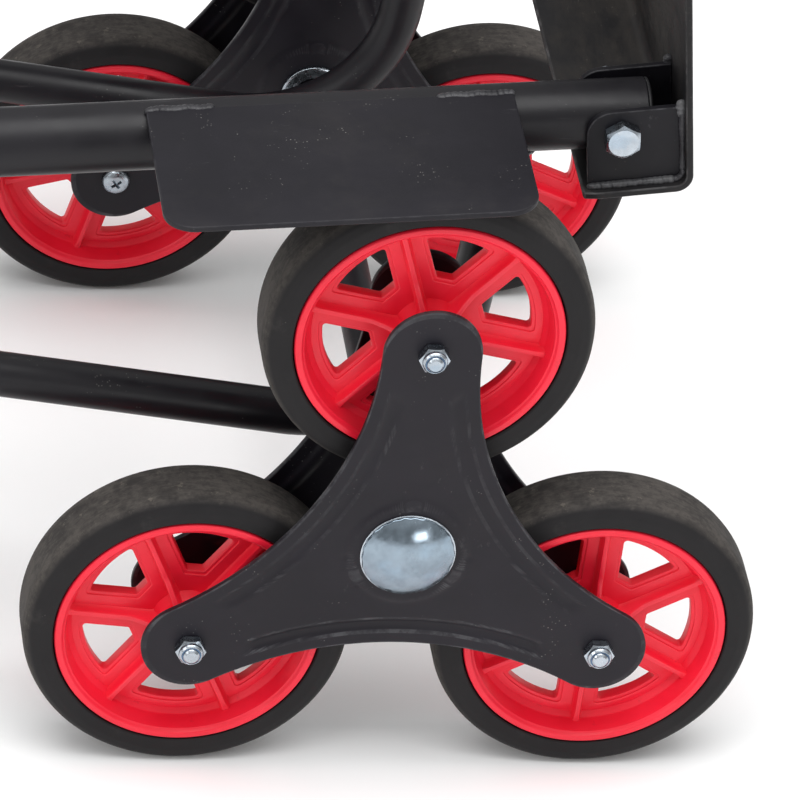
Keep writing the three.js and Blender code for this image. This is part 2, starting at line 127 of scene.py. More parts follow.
class Mat:
    """A node material with one Principled shader, and short calls for the nodes that feed it."""

    def __init__(self, name, **constants):
        self.mat = bpy.data.materials.new(name)
        self.mat.use_nodes = True
        self.nt = self.mat.node_tree
        self.nt.nodes.clear()
        self.out = self.nt.nodes.new("ShaderNodeOutputMaterial")
        self.bsdf = self.nt.nodes.new("ShaderNodeBsdfPrincipled")
        self.nt.links.new(self.bsdf.outputs[0], self.out.inputs[0])
        for k, v in constants.items():
            self.bsdf.inputs[k.replace("_", " ")].default_value = v
        self.coord = self.nt.nodes.new("ShaderNodeTexCoord")

    def put(self, socket, value):
        if hasattr(value, "is_linked") or hasattr(value, "links"):
            self.nt.links.new(value, socket)
        else:
            socket.default_value = value

    def obj(self, scale=(1, 1, 1), offset=(0, 0, 0)):
        m = self.nt.nodes.new("ShaderNodeMapping")
        self.nt.links.new(self.coord.outputs["Object"], m.inputs["Vector"])
        m.inputs["Scale"].default_value = scale
        m.inputs["Location"].default_value = offset
        return m.outputs[0]

    def noise(self, scale, detail=3.0, rough=0.55, vec=None, distortion=0.0):
        n = self.nt.nodes.new("ShaderNodeTexNoise")
        n.inputs["Scale"].default_value = scale
        n.inputs["Detail"].default_value = detail
        n.inputs["Roughness"].default_value = rough
        n.inputs["Distortion"].default_value = distortion
        self.nt.links.new(vec if vec is not None else self.coord.outputs["Object"], n.inputs["Vector"])
        return n.outputs["Fac"]

    def voronoi(self, scale, vec=None, feature="F1"):
        n = self.nt.nodes.new("ShaderNodeTexVoronoi")
        n.feature = feature
        n.inputs["Scale"].default_value = scale
        self.nt.links.new(vec if vec is not None else self.coord.outputs["Object"], n.inputs["Vector"])
        return n.outputs["Distance"]

    def span(self, value, a, b, lo=0.0, hi=1.0, smooth=True):
        n = self.nt.nodes.new("ShaderNodeMapRange")
        n.interpolation_type = "SMOOTHSTEP" if smooth else "LINEAR"
        self.nt.links.new(value, n.inputs["Value"])
        n.inputs["From Min"].default_value = a
        n.inputs["From Max"].default_value = b
        n.inputs["To Min"].default_value = lo
        n.inputs["To Max"].default_value = hi
        return n.outputs[0]

    def math(self, op, a, b=0.0, c=0.0):
        n = self.nt.nodes.new("ShaderNodeMath")
        n.operation = op
        self.put(n.inputs[0], a)
        self.put(n.inputs[1], b)
        self.put(n.inputs[2], c)
        return n.outputs[0]

    def mix(self, fac, a, b):
        n = self.nt.nodes.new("ShaderNodeMix")
        n.data_type = "RGBA"
        self.put(n.inputs[0], fac)
        for socket, v in ((n.inputs[6], a), (n.inputs[7], b)):
            if isinstance(v, tuple):
                socket.default_value = (*v, 1.0)
            else:
                self.nt.links.new(v, socket)
        return n.outputs[2]

    def attribute(self, name):
        n = self.nt.nodes.new("ShaderNodeAttribute")
        n.attribute_name = name
        return n.outputs["Fac"]

    def xyz(self):
        n = self.nt.nodes.new("ShaderNodeSeparateXYZ")
        self.nt.links.new(self.coord.outputs["Object"], n.inputs[0])
        return n.outputs

    def bump(self, height, distance, strength=1.0, before=None):
        n = self.nt.nodes.new("ShaderNodeBump")
        n.inputs["Strength"].default_value = strength
        n.inputs["Distance"].default_value = distance
        self.nt.links.new(height, n.inputs["Height"])
        if before is not None:
            self.nt.links.new(before, n.inputs["Normal"])
        return n.outputs[0]

    def finish(self, color=None, roughness=None, normal=None):
        if color is not None:
            self.nt.links.new(color, self.bsdf.inputs["Base Color"])
        if roughness is not None:
            self.nt.links.new(roughness, self.bsdf.inputs["Roughness"])
        if normal is not None:
            self.nt.links.new(normal, self.bsdf.inputs["Normal"])
        return self.mat


def painted_steel(name, dark, light, rough, specks=0.5, streak=(1, 1, 1), dust=0.0, spec=0.25, worn=(0.11, 0.11, 0.118)):
    m = Mat(name, Specular_IOR_Level=spec, Metallic=0.0)
    cloud = m.noise(9.0, 4.0, 0.6)
    patch = m.noise(38.0, 5.0, 0.62)
    tone = m.span(m.math("ADD", m.math("MULTIPLY", cloud, 0.6), m.math("MULTIPLY", patch, 0.4)), 0.38, 0.62)
    color = m.mix(tone, dark, light)
    # fine scratches, drawn out along one axis
    scr = m.noise(55.0, 6.0, 0.75, m.obj(streak))
    scratch = m.span(scr, 0.64, 0.71)
    color = m.mix(m.math("MULTIPLY", scratch, 0.14), color, (0.16, 0.16, 0.165))
    # paint rubbed thin along the edges, partly real wear and partly a painted highlight: the edges are made lighter
    # where the surface turns sharply
    rub = m.math("MULTIPLY", m.attribute("edge"), m.span(m.noise(85.0, 5.0, 0.7), 0.42, 0.62, 0.15, 0.85))
    color = m.mix(m.math("MULTIPLY", rub, 0.55), color, worn)
    # dust specks: sparse small spots
    cells = m.voronoi(460.0)
    keep = m.span(m.noise(47.0, 3.0, 0.7), 0.57, 0.66)
    speck = m.math("MULTIPLY", m.span(cells, 0.20, 0.08), keep)
    color = m.mix(m.math("MULTIPLY", speck, specks), color, (0.17, 0.165, 0.155))
    film = m.span(m.noise(16.0, 6.0, 0.7), 0.45, 0.75)
    if dust:
        color = m.mix(m.math("MULTIPLY", film, dust), color, (0.16, 0.145, 0.125))
    roughness = m.math("ADD", m.span(patch, 0.3, 0.7, rough - 0.05, rough + 0.07), m.math("MULTIPLY", film, 0.05))
    peel = m.noise(620.0, 2.0, 0.5)
    wave = m.noise(70.0, 2.0, 0.5)
    n1 = m.bump(peel, 0.00004, 0.55)
    n2 = m.bump(wave, 0.0003, 0.35, n1)
    n3 = m.bump(m.math("MULTIPLY", scratch, -1.0), 0.00003, 0.5, n2)
    return m.finish(color, roughness, n3)


tube_black = painted_steel("tube_black", (0.0066, 0.0060, 0.0080), (0.0102, 0.0094, 0.0120), 0.37, 0.45, (0.25, 4, 4), spec=0.28)
plate_black = painted_steel("plate_black", (0.0076, 0.0063, 0.0100), (0.0120, 0.0102, 0.0152), 0.45, 0.8, (1.4, 1, 0.8), 0.02)
plate_grey = painted_steel("plate_grey", (0.0062, 0.0055, 0.0088), (0.0110, 0.0100, 0.0142), 0.50, 0.9, (0.5, 3, 2), 0.05)
ear_black = painted_steel("ear_black", (0.0042, 0.0038, 0.0058), (0.0080, 0.0074, 0.0102), 0.42, 0.6, (1, 1, 1), 0.04, spec=0.21)
weld_black = painted_steel("weld_black", (0.0130, 0.0125, 0.0150), (0.0260, 0.0250, 0.0285), 0.34, 0.3)
# a lighter weld colour: partly worn bare metal, partly a painted highlight on the bead
weld_worn_highlight = painted_steel("weld_worn_highlight", (0.0180, 0.0178, 0.0200), (0.1300, 0.1300, 0.1340), 0.30, 0.2)


def toe_material():
    m = Mat("toe_steel", Specular_IOR_Level=0.21)
    cloud = m.noise(7.0, 5.0, 0.62)
    patch = m.noise(30.0, 6.0, 0.68)
    tone = m.span(m.math("ADD", m.math("MULTIPLY", cloud, 0.55), m.math("MULTIPLY", patch, 0.45)), 0.36, 0.64)
    color = m.mix(tone, (0.0062, 0.0058, 0.0072), (0.0130, 0.0124, 0.0134))
    film = m.span(m.noise(24.0, 7.0, 0.72, m.obj((1, 0.35, 0.35))), 0.40, 0.68)
    color = m.mix(m.math("MULTIPLY", film, 0.40), color, (0.072, 0.062, 0.052))
    rub = m.span(m.noise(70.0, 7.0, 0.8, m.obj((1.0, 0.16, 2.6))), 0.62, 0.70)
    color = m.mix(m.math("MULTIPLY", rub, 0.30), color, (0.16, 0.145, 0.125))
    # bare metal along the edges, partly real wear and partly a painted highlight: the edges are made lighter where the
    # surface turns sharply
    bare_edge_highlight = m.math("MULTIPLY", m.attribute("edge"), m.span(m.noise(85.0, 5.0, 0.7), 0.42, 0.62, 0.2, 0.9))
    color = m.mix(m.math("MULTIPLY", bare_edge_highlight, 0.5), color, (0.12, 0.118, 0.12))
    cells = m.voronoi(420.0)
    keep = m.span(m.noise(50.0, 3.0, 0.7), 0.56, 0.66)
    speck = m.math("MULTIPLY", m.span(cells, 0.18, 0.07), keep)
    color = m.mix(m.math("MULTIPLY", speck, 0.55), color, (0.22, 0.205, 0.185))
    roughness = m.span(film, 0.0, 1.0, 0.46, 0.66)
    n1 = m.bump(m.noise(600.0, 2.0), 0.00004, 0.5)
    n2 = m.bump(m.noise(60.0, 2.0), 0.0003, 0.3, n1)
    return m.finish(color, roughness, n2)


toe_steel = toe_material()


def tyre_material():
    m = Mat("tyre_rubber", Specular_IOR_Level=0.24)
    x, y, z = m.xyz()
    r = m.math("SQRT", m.math("ADD", m.math("MULTIPLY", x, x), m.math("MULTIPLY", z, z)))
    tread = m.span(r, 0.0752, 0.0785)
    mid = m.math("ABSOLUTE", y)
    ang = m.math("ARCTAN2", z, x)
    comb = m.nt.nodes.new("ShaderNodeCombineXYZ")
    m.put(comb.inputs[0], m.math("MULTIPLY", ang, 0.022))
    m.put(comb.inputs[1], m.math("MULTIPLY", y, 1.0))
    m.put(comb.inputs[2], m.math("MULTIPLY", r, 1.0))
    rings = m.noise(520.0, 5.0, 0.75, comb.outputs[0])
    blot = m.noise(34.0, 6.0, 0.68)
    base = m.mix(m.span(blot, 0.35, 0.65), (0.0088, 0.0080, 0.0088), (0.0140, 0.0130, 0.0138))
    side = m.span(m.noise(58.0, 6.0, 0.72), 0.56, 0.74)
    base = m.mix(m.math("MULTIPLY", side, 0.22), base, (0.055, 0.051, 0.048))
    dusty = m.math("MULTIPLY", tread, m.span(m.math("ADD", m.math("MULTIPLY", rings, 0.3), m.math("ADD", m.math("MULTIPLY", blot, 0.4), m.math("MULTIPLY", m.noise(240.0, 5.0, 0.7), 0.3))), 0.40, 0.60, 0.30, 1.0))
    color = m.mix(m.math("MULTIPLY", dusty, 0.72), base, (0.098, 0.087, 0.078))
    worn = m.math("MULTIPLY", tread, m.span(m.noise(150.0, 5.0, 0.75), 0.60, 0.70))
    color = m.mix(m.math("MULTIPLY", worn, 0.32), color, (0.21, 0.185, 0.155))
    cells = m.voronoi(440.0)
    keep = m.span(m.noise(60.0, 3.0, 0.7), 0.62, 0.70)
    color = m.mix(m.math("MULTIPLY", m.math("MULTIPLY", m.span(cells, 0.18, 0.07), keep), 0.5), color, (0.20, 0.19, 0.17))
    roughness = m.math("ADD", m.span(blot, 0.3, 0.7, 0.60, 0.72), m.math("MULTIPLY", tread, 0.16))
    n1 = m.bump(m.noise(900.0, 3.0, 0.6), 0.00006, 0.7)
    n2 = m.bump(m.noise(120.0, 4.0, 0.6), 0.00025, 0.4, n1)
    n3 = m.bump(rings, 0.00012, 0.4, n2)
    del mid
    return m.finish(color, roughness, n3)


tyre_rubber = tyre_material()


def rim_material():
    m = Mat("rim_red", Specular_IOR_Level=0.42)
    cloud = m.noise(20.0, 4.0, 0.6)
    color = m.mix(m.span(cloud, 0.35, 0.65), (0.80, 0.0105, 0.033), (0.88, 0.0150, 0.043))
    flow = m.span(m.noise(48.0, 5.0, 0.7, m.obj((1, 1, 1)), 1.2), 0.60, 0.70)
    color = m.mix(m.math("MULTIPLY", flow, 0.22), color, (0.72, 0.010, 0.026))
    grime = m.span(m.noise(75.0, 6.0, 0.75), 0.635, 0.72)
    color = m.mix(m.math("MULTIPLY", grime, 0.25), color, (0.30, 0.014, 0.018))
    # painted highlight: the red plastic is made a lighter red where the surface turns sharply
    color = m.mix(m.math("MULTIPLY", m.attribute("edge"), 0.16), color, (0.95, 0.10, 0.12))
    roughness = m.span(m.noise(44.0, 5.0, 0.65), 0.3, 0.7, 0.34, 0.50)
    n1 = m.bump(m.noise(800.0, 2.0), 0.00003, 0.5)
    n2 = m.bump(m.noise(60.0, 3.0), 0.0003, 0.25, n1)
    return m.finish(color, roughness, n2)


rim_red = rim_material()


def zinc_material(name, tint=(0.60, 0.66, 0.71), rough=0.24, dents=1.0):
    m = Mat(name, Metallic=1.0)
    cloud = m.noise(95.0, 5.0, 0.65)
    color = m.mix(m.span(cloud, 0.34, 0.66), tuple(0.78 * c for c in tint), tint)
    blue = m.span(m.noise(60.0, 4.0, 0.6), 0.50, 0.68)
    color = m.mix(m.math("MULTIPLY", blue, 0.40), color, (0.30, 0.41, 0.52))
    stain = m.span(m.noise(330.0, 6.0, 0.8), 0.66, 0.74)
    color = m.mix(m.math("MULTIPLY", stain, 0.5), color, (0.16, 0.19, 0.23))
    roughness = m.span(m.noise(160.0, 6.0, 0.75), 0.3, 0.7, rough - 0.07, rough + 0.12)
    n1 = m.bump(m.noise(420.0, 4.0, 0.7), 0.00006, 0.35 * dents)
    n2 = m.bump(m.noise(110.0, 3.0, 0.6), 0.00025, 0.25 * dents, n1)
    return m.finish(color, roughness, n2)


zinc = zinc_material("zinc_plate", (0.50, 0.55, 0.60), 0.24)
zinc_cap = zinc_material("zinc_cap", (0.285, 0.35, 0.41), 0.17, 0.25)


def plastic_material(name, base, rough):
    m = Mat(name, Specular_IOR_Level=0.4)
    cloud = m.noise(40.0, 5.0, 0.65)
    color = m.mix(m.span(cloud, 0.35, 0.65), tuple(0.8 * c for c in base), tuple(1.25 * c for c in base))
    cells = m.voronoi(420.0)
    keep = m.span(m.noise(80.0, 2.0), 0.58, 0.66)
    color = m.mix(m.math("MULTIPLY", m.math("MULTIPLY", m.span(cells, 0.22, 0.10), keep), 0.5), color, (0.25, 0.24, 0.22))
    roughness = m.span(m.noise(70.0, 5.0), 0.3, 0.7, rough - 0.06, rough + 0.08)
    n = m.bump(m.noise(900.0, 3.0, 0.6), 0.00005, 0.6)
    return m.finish(color, roughness, n)


black_plastic = plastic_material("black_plastic", (0.010, 0.010, 0.011), 0.50)
grip_rubber = plastic_material("grip_rubber", (0.014, 0.0135, 0.013), 0.72)
nylon = plastic_material("nylon_blue", (0.12, 0.20, 0.33), 0.40)


def floor_material():
    m = Mat("floor", Specular_IOR_Level=0.15)
    cloud = m.noise(0.8, 3.0, 0.5)
    color = m.mix(m.span(cloud, 0.3, 0.7), (0.935, 0.935, 0.935), (0.955, 0.955, 0.955))
    roughness = m.span(m.noise(6.0, 4.0), 0.3, 0.7, 0.85, 0.95)
    n = m.bump(m.noise(160.0, 3.0), 0.0001, 0.15)
    return m.finish(color, roughness, n)


# ------------------------------------------------------------------ mesh helpers, all in millimetres
def profile_round(points, closed, n=5):
    """Corner points (r, y, fillet) to a smooth profile."""
    out = []
    k = len(points)
    for i, p in enumerate(points):
        f = p[2] if len(p) > 2 else 0.0
        if f <= 0 or (not closed and i in (0, k - 1)):
            out.append((p[0], p[1]))
            continue
        c = np.array(p[:2], float)
        a = np.array(points[(i - 1) % k][:2], float) - c
        b = np.array(points[(i + 1) % k][:2], float) - c
        la, lb = np.linalg.norm(a), np.linalg.norm(b)
        a, b = a / la, b / lb
        ang = math.acos(max(-1.0, min(1.0, float(a @ b))))
        if ang > math.pi - 0.02:
            out.append((p[0], p[1]))
            continue
        reach = min(f / math.tan(ang / 2), la * 0.49, lb * 0.49)
        rr = reach * math.tan(ang / 2)
        mid = (a + b) / np.linalg.norm(a + b)
        centre = c + mid * rr / math.sin(ang / 2)
        s, e = c + a * reach - centre, c + b * reach - centre
        turn = math.pi - ang
        sign = 1.0 if s[0] * e[1] - s[1] * e[0] > 0 else -1.0
        for j in range(n + 1):
            t = sign * turn * j / n
            out.append((centre[0] + s[0] * math.cos(t) - s[1] * math.sin(t), centre[1] + s[0] * math.sin(t) + s[1] * math.cos(t)))
    return out


def lathe(profile, segs, closed=False, x=0.0, z=0.0, mod=None, phase=0.0):
    """Turns (r, y) points about a line parallel to Y. An open profile starts and ends on the axis."""
    verts, faces = [], []
    rows = []
    for r, y in profile:
        if r < 1e-6:
            rows.append([len(verts)])
            verts.append((x, y, z))
        else:
            row = []
            for i in range(segs):
                t = 2 * math.pi * i / segs + phase
                rr, yy = (r, y) if mod is None else mod(r, y, t)
                row.append(len(verts))
                verts.append((x + rr * math.cos(t), yy, z + rr * math.sin(t)))
            rows.append(row)
    pairs = list(zip(rows, rows[1:] + ([rows[0]] if closed else [])))
    if not closed:
        pairs = pairs[: len(rows) - 1]
    for a, b in pairs:
        for i in range(segs):
            j = (i + 1) % segs
            if len(a) == 1 and len(b) == 1:
                continue
            if len(a) == 1:
                faces.append((a[0], b[j], b[i]))
            elif len(b) == 1:
                faces.append((a[i], a[j], b[0]))
            else:
                faces.append((a[i], a[j], b[j], b[i]))
    return np.array(verts, float), faces


def frames_along(pts):
    t = np.gradient(pts, axis=0)
    t /= np.linalg.norm(t, axis=1)[:, None]
    up = np.array([0, 0, 1.0]) if abs(t[0][2]) < 0.9 else np.array([0, 1.0, 0])
    u = np.cross(up, t[0])
    u /= np.linalg.norm(u)
    us = [u]
    for i in range(1, len(pts)):
        u = us[-1] - t[i] * (us[-1] @ t[i])
        us.append(u / np.linalg.norm(u))
    us = np.array(us)
    return t, us, np.cross(t, us)


def sweep(pts, r, sides=24, rfun=None, flat=1.0, dome=0.0):
    """A round rod along points, with closed ends; dome rounds them off."""
    pts = np.array(pts, float)
    t, u, v = frames_along(pts)
    rad = np.full(len(pts), float(r)) if rfun is None else np.array([rfun(i) for i in range(len(pts))])
    rings, centres = list(range(len(pts))), list(pts)
    rows_c, rows_r, rows_f = [], [], []
    if dome > 0:
        for q in (80, 55, 30):
            a = math.radians(q)
            rows_c.append(pts[0] - t[0] * dome * math.sin(a))
            rows_r.append(rad[0] * math.cos(a))
            rows_f.append(0)
    for i in rings:
        rows_c.append(centres[i])
        rows_r.append(rad[i])
        rows_f.append(i)
    if dome > 0:
        for q in (30, 55, 80):
            a = math.radians(q)
            rows_c.append(pts[-1] + t[-1] * dome * math.sin(a))
            rows_r.append(rad[-1] * math.cos(a))
            rows_f.append(len(pts) - 1)
    ang = np.arange(sides) * 2 * math.pi / sides
    verts = []
    for c, rr, f in zip(rows_c, rows_r, rows_f):
        verts.append(c + rr * (np.cos(ang)[:, None] * u[f] + flat * np.sin(ang)[:, None] * v[f]))
    verts = np.concatenate(verts)
    k = len(rows_c)
    faces = [
        (a * sides + i, a * sides + (i + 1) % sides, (a + 1) * sides + (i + 1) % sides, (a + 1) * sides + i)
        for a in range(k - 1)
        for i in range(sides)
    ]
    n = len(verts)
    verts = np.vstack([verts, rows_c[0], rows_c[-1]])
    faces += [(n, (i + 1) % sides, i) for i in range(sides)]
    faces += [(n + 1, (k - 1) * sides + i, (k - 1) * sides + (i + 1) % sides) for i in range(sides)]
    return verts, faces


def hollow(pts, r, rin, sides=40, depth=14.0):
    """A tube along points whose ends are open, with a bore of that depth at each end."""
    pts = np.array(pts, float)
    t, u, v = frames_along(pts)
    ang = np.arange(sides) * 2 * math.pi / sides
    rows = []

    def ring(c, rr, f):
        rows.append(c + rr * (np.cos(ang)[:, None] * u[f] + np.sin(ang)[:, None] * v[f]))

    ring(pts[0] + t[0] * depth, rin, 0)
    ring(pts[0] + t[0] * 0.3, rin, 0)
    ring(pts[0], rin + 0.3, 0)
    ring(pts[0], r - 0.5, 0)
    ring(pts[0] + t[0] * 0.5, r, 0)
    for i in range(1, len(pts) - 1):
        ring(pts[i], r, i)
    e = len(pts) - 1
    ring(pts[e] - t[e] * 0.5, r, e)
    ring(pts[e], r - 0.5, e)
    ring(pts[e], rin + 0.3, e)
    ring(pts[e] - t[e] * 0.3, rin, e)
    ring(pts[e] - t[e] * depth, rin, e)
    k = len(rows)
    verts = np.vstack(rows + [pts[0] + t[0] * depth, pts[e] - t[e] * depth])
    faces = [
        (a * sides + i, a * sides + (i + 1) % sides, (a + 1) * sides + (i + 1) % sides, (a + 1) * sides + i)
        for a in range(k - 1)
        for i in range(sides)
    ]
    n = k * sides
    faces += [(n, (i + 1) % sides, i) for i in range(sides)]
    faces += [(n + 1, (k - 1) * sides + i, (k - 1) * sides + (i + 1) % sides) for i in range(sides)]
    return verts, faces


def route(corners, radii, step=4.0, straight=40.0):
    """Points along straights joined by rounded corners."""
    c = [np.array(p, float) for p in corners]
    keys = [c[0]]
    for i in range(1, len(c) - 1):
        a = (c[i - 1] - c[i]) / np.linalg.norm(c[i - 1] - c[i])
        b = (c[i + 1] - c[i]) / np.linalg.norm(c[i + 1] - c[i])
        turn = math.pi - math.acos(max(-1.0, min(1.0, float(a @ b))))
        r = radii[i - 1]
        reach = r * math.tan(turn / 2)
        centre = c[i] + (a + b) / np.linalg.norm(a + b) * (r / math.cos(turn / 2))
        start = c[i] + a * reach - centre
        axis = np.cross(start, c[i] + b * reach - centre)
        axis /= np.linalg.norm(axis)
        n = max(3, math.ceil(math.degrees(turn) / step))
        keys.append("line")
        for k in range(n + 1):
            t = turn * k / n
            keys.append(centre + start * math.cos(t) + np.cross(axis, start) * math.sin(t))
    keys.append("line")
    keys.append(c[-1])
    out = []
    long = False
    for k in keys:
        if isinstance(k, str):
            long = True
            continue
        if out and long:
            gap = np.linalg.norm(k - out[-1])
            n = max(1, int(gap / straight))
            for j in range(1, n):
                out.append(out[-1] + (k - out[-1]) / (n - j + 1))
        long = False
        if not out or np.linalg.norm(k - out[-1]) > 1e-6:
            out.append(k)
    return np.array(out)


def outline_plate(loops, thick, bevel, res=3):
    """A flat plate with holes and rounded edges: (x, y, z) with z across the thickness."""
    cu = bpy.data.curves.new("outline", "CURVE")
    cu.dimensions = "2D"
    cu.fill_mode = "BOTH"
    for loop in loops:
        sp = cu.splines.new("POLY")
        sp.points.add(len(loop) - 1)
        for p, (x, y) in zip(sp.points, loop):
            p.co = (x, y, 0, 1)
        sp.use_cyclic_u = True
    cu.extrude = thick / 2 - bevel
    cu.bevel_depth = bevel
    cu.bevel_resolution = res
    cu.offset = -bevel
    ob = bpy.data.objects.new("outline", cu)
    scene.collection.objects.link(ob)
    me = bpy.data.meshes.new_from_object(ob.evaluated_get(bpy.context.evaluated_depsgraph_get()))
    bm = bmesh.new()
    bm.from_mesh(me)
    bmesh.ops.remove_doubles(bm, verts=bm.verts, dist=1e-3)
    bmesh.ops.recalc_face_normals(bm, faces=bm.faces)
    v = np.array([tuple(x.co) for x in bm.verts], float)
    bm.verts.index_update()
    f = [tuple(x.index for x in face.verts) for face in bm.faces]
    bm.free()
    bpy.data.objects.remove(ob)
    bpy.data.curves.remove(cu)
    bpy.data.meshes.remove(me)
    return v, f


def rounded(points, n=6):
    """Polygon corners (x, y, radius) to a rounded loop."""
    return profile_round(points, True, n)


def to_xz(vf, y_mid):
    """A plate made in (x, y) with its thickness along z, stood up so that it lies in X and Z with its thickness along Y."""
    v, f = vf
    return np.c_[v[:, 0], y_mid - v[:, 2], v[:, 1]], f


def turn_y(vf, deg):
    v, f = vf
    c, s = math.cos(math.radians(deg)), math.sin(math.radians(deg))
    return np.c_[v[:, 0] * c - v[:, 2] * s, v[:, 1], v[:, 0] * s + v[:, 2] * c], f


def shift(vf, x=0.0, y=0.0, z=0.0):
    return vf[0] + np.array([x, y, z]), vf[1]


def along_x(vf):
    """A piece turned about Y, laid so that its axis is X."""
    v, f = vf
    return np.c_[v[:, 1], v[:, 0], v[:, 2]], f


def volume(v, f):
    total = 0.0
    for q in f:
        a = v[q[0]]
        for i in range(1, len(q) - 1):
            total += float(np.dot(a, np.cross(v[q[i]], v[q[i + 1]])))
    return total


def outward(vf):
    v, f = vf
    if volume(v, f) < 0:
        f = [tuple(reversed(q)) for q in f]
    return v, f


def cut(a, *tools):
    """Boolean difference of small closed meshes."""
    made = []
    for i, (v, f) in enumerate([a, *tools]):
        me = bpy.data.meshes.new("cut%d" % i)
        me.from_pydata([tuple(p) for p in v], [], [tuple(q) for q in f])
        o = bpy.data.objects.new("cut%d" % i, me)
        scene.collection.objects.link(o)
        made.append(o)
    for t in made[1:]:
        mod = made[0].modifiers.new("b", "BOOLEAN")
        mod.object = t
        mod.operation = "DIFFERENCE"
        mod.solver = "EXACT"
    me = bpy.data.meshes.new_from_object(made[0].evaluated_get(bpy.context.evaluated_depsgraph_get()))
    v = np.array([tuple(p.co) for p in me.vertices], float)
    f = [tuple(p.vertices) for p in me.polygons]
    for o in made:
        d = o.data
        bpy.data.objects.remove(o)
        bpy.data.meshes.remove(d)
    bpy.data.meshes.remove(me)
    return v, f


EDGE_WEAR_AND_HIGHLIGHT = [tube_black, plate_black, plate_grey, ear_black, toe_steel, rim_red]


def mark_edges(me):
    """Writes, on each narrow face along an outward edge, how sharply the surface turns there, 0 to 1, for the edge wear
    and the painted edge highlight in the materials.
    """
    bm = bmesh.new()
    bm.from_mesh(me)
    bm.faces.ensure_lookup_table()
    worst = np.zeros(len(bm.faces), np.float32)
    for e in bm.edges:
        if len(e.link_faces) == 2:
            a = e.calc_face_angle_signed(0.0)
            if a > 0.26:
                for f in e.link_faces:
                    if a > worst[f.index] and f.calc_area() < 6e-6 * (1 + 9 * (len(f.verts) == 4 and min(k.calc_length() for k in f.edges) < 0.0009)):
                        worst[f.index] = a
    bm.free()
    made = me.attributes.new("edge", "FLOAT", "FACE")
    made.data.foreach_set("value", np.clip((worst - 0.26) / 0.2, 0, 1))


def piece(name, parts, matrix, body, nodes=(), slot=None, left=False, centre=None, sharp=32.0):
    """One Blender object of one or more closed shells. parts is [(verts, faces), material] pairs. left mirrors it to the other side."""
    verts, faces, index, mats = [], [], [], []
    base = 0
    m3 = np.array(matrix, float)
    for vf, mat in parts:
        v, f = outward(vf)
        w = v @ m3[:3, :3].T + m3[:3, 3]
        if left:
            w = w * np.array([1, -1, 1])
            f = [tuple(reversed(q)) for q in f]
        if mat not in mats:
            mats.append(mat)
        verts.append(w)
        faces += [tuple(i + base for i in q) for q in f]
        index += [mats.index(mat)] * len(f)
        base += len(w)
    verts = np.concatenate(verts)
    at = np.zeros(3) if centre is None else np.array(centre, float)
    me = bpy.data.meshes.new(name)
    me.from_pydata([tuple(p) for p in verts - at], [], faces)
    me.polygons.foreach_set("material_index", index)
    me.update()
    for mat in mats:
        me.materials.append(mat)
    if any(m in EDGE_WEAR_AND_HIGHLIGHT for m in mats):
        mark_edges(me)
    me.shade_smooth()
    me.set_sharp_from_angle(angle=math.radians(sharp))
    o = bpy.data.objects.new(name, me)
    o.location = tuple(at)
    scene.collection.objects.link(o)
    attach(o, body)
    if nodes:
        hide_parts(*nodes)
    return o


def both(name, parts, matrix, body, nodes=(), slot=None, **kw):
    for side in ("right", "left"):
        piece(name + "_" + side, parts, matrix, body.replace("@", side), [n + "_" + side for n in nodes], slot, side == "left", **kw)


rng = np.random.default_rng(7)


def bead(pts, r, pitch=2.4, flat=0.8, sides=14):
    """A run of weld: overlapping puddles along points."""
    pts = np.array(pts, float)
    seg = np.linalg.norm(np.diff(pts, axis=0), axis=1)
    s = np.r_[0, np.cumsum(seg)]
    n = max(8, int(s[-1] / 0.45))
    q = np.linspace(0, s[-1], n)
    p = np.c_[[np.interp(q, s, pts[:, k]) for k in range(3)]].T
    wob = np.interp(q, np.linspace(0, s[-1], max(4, int(s[-1] / 6))), rng.uniform(0.88, 1.12, max(4, int(s[-1] / 6))))
    rad = r * wob * (0.86 + 0.14 * np.abs(np.sin(math.pi * q / pitch)))
    return sweep(p, r, sides, lambda i: rad[i], flat, r * 0.7)


def weld_ring(p0, d, r, q0, e, big, size=2.6, n=72, part=1.0):
    """A weld all round a tube (from p0 along d) where it meets a thicker tube through q0 along e."""
    p0, d, q0, e = (np.array(k, float) for k in (p0, d, q0, e))
    d, e = d / np.linalg.norm(d), e / np.linalg.norm(e)
    u = np.cross(d, e)
    u /= np.linalg.norm(u)
    w = np.cross(d, u)
    out = []
    for i in range(n + 1):
        t = 2 * math.pi * part * i / n
        b = p0 + r * (math.cos(t) * u + math.sin(t) * w)
        rel = b - q0
        a0 = rel - e * (rel @ e)
        a1 = d - e * (d @ e)
        A, B, C = a1 @ a1, 2 * a0 @ a1, a0 @ a0 - big * big
        disc = B * B - 4 * A * C
        if disc < 0:
            k = -B / (2 * A)
        else:
            k = (-B - math.sqrt(disc)) / (2 * A)
        out.append(b + d * k)
    return bead(out, size, 2.6)


# ------------------------------------------------------------------ fasteners
def hex_head(af, h, y_top, corner_deg=0.0, chamfer=0.9, segs=120, base_round=0.0):
    """Hexagon head from y_top (outer face, towards -Y) to y_top + h, with the usual cone-cut corners."""
    rc = af / 2 * chamfer

    def hexr(t):
        k = (math.degrees(t) - corner_deg) % 60.0 - 30.0
        return af / 2 / math.cos(math.radians(k))

    prof = [(0.0, y_top), (rc * 0.55, y_top), (rc, y_top + 0.02), (1.0, 1.0), (2.0, 2.0), (3.0, 3.0), (0.0, y_top + h)]

    def mod(r, y, t):
        R = hexr(t)
        if r == 1.0:
            return R, y_top + 0.05 + (R - rc) * 0.577
        if r == 2.0:
            return R + 0.02, y_top + h - 0.35 - (R - rc) * 0.28 * (1 if base_round else 0)
        if r == 3.0:
            return R - 0.35, y_top + h
        return r, y

    return lathe(prof, segs, mod=mod)


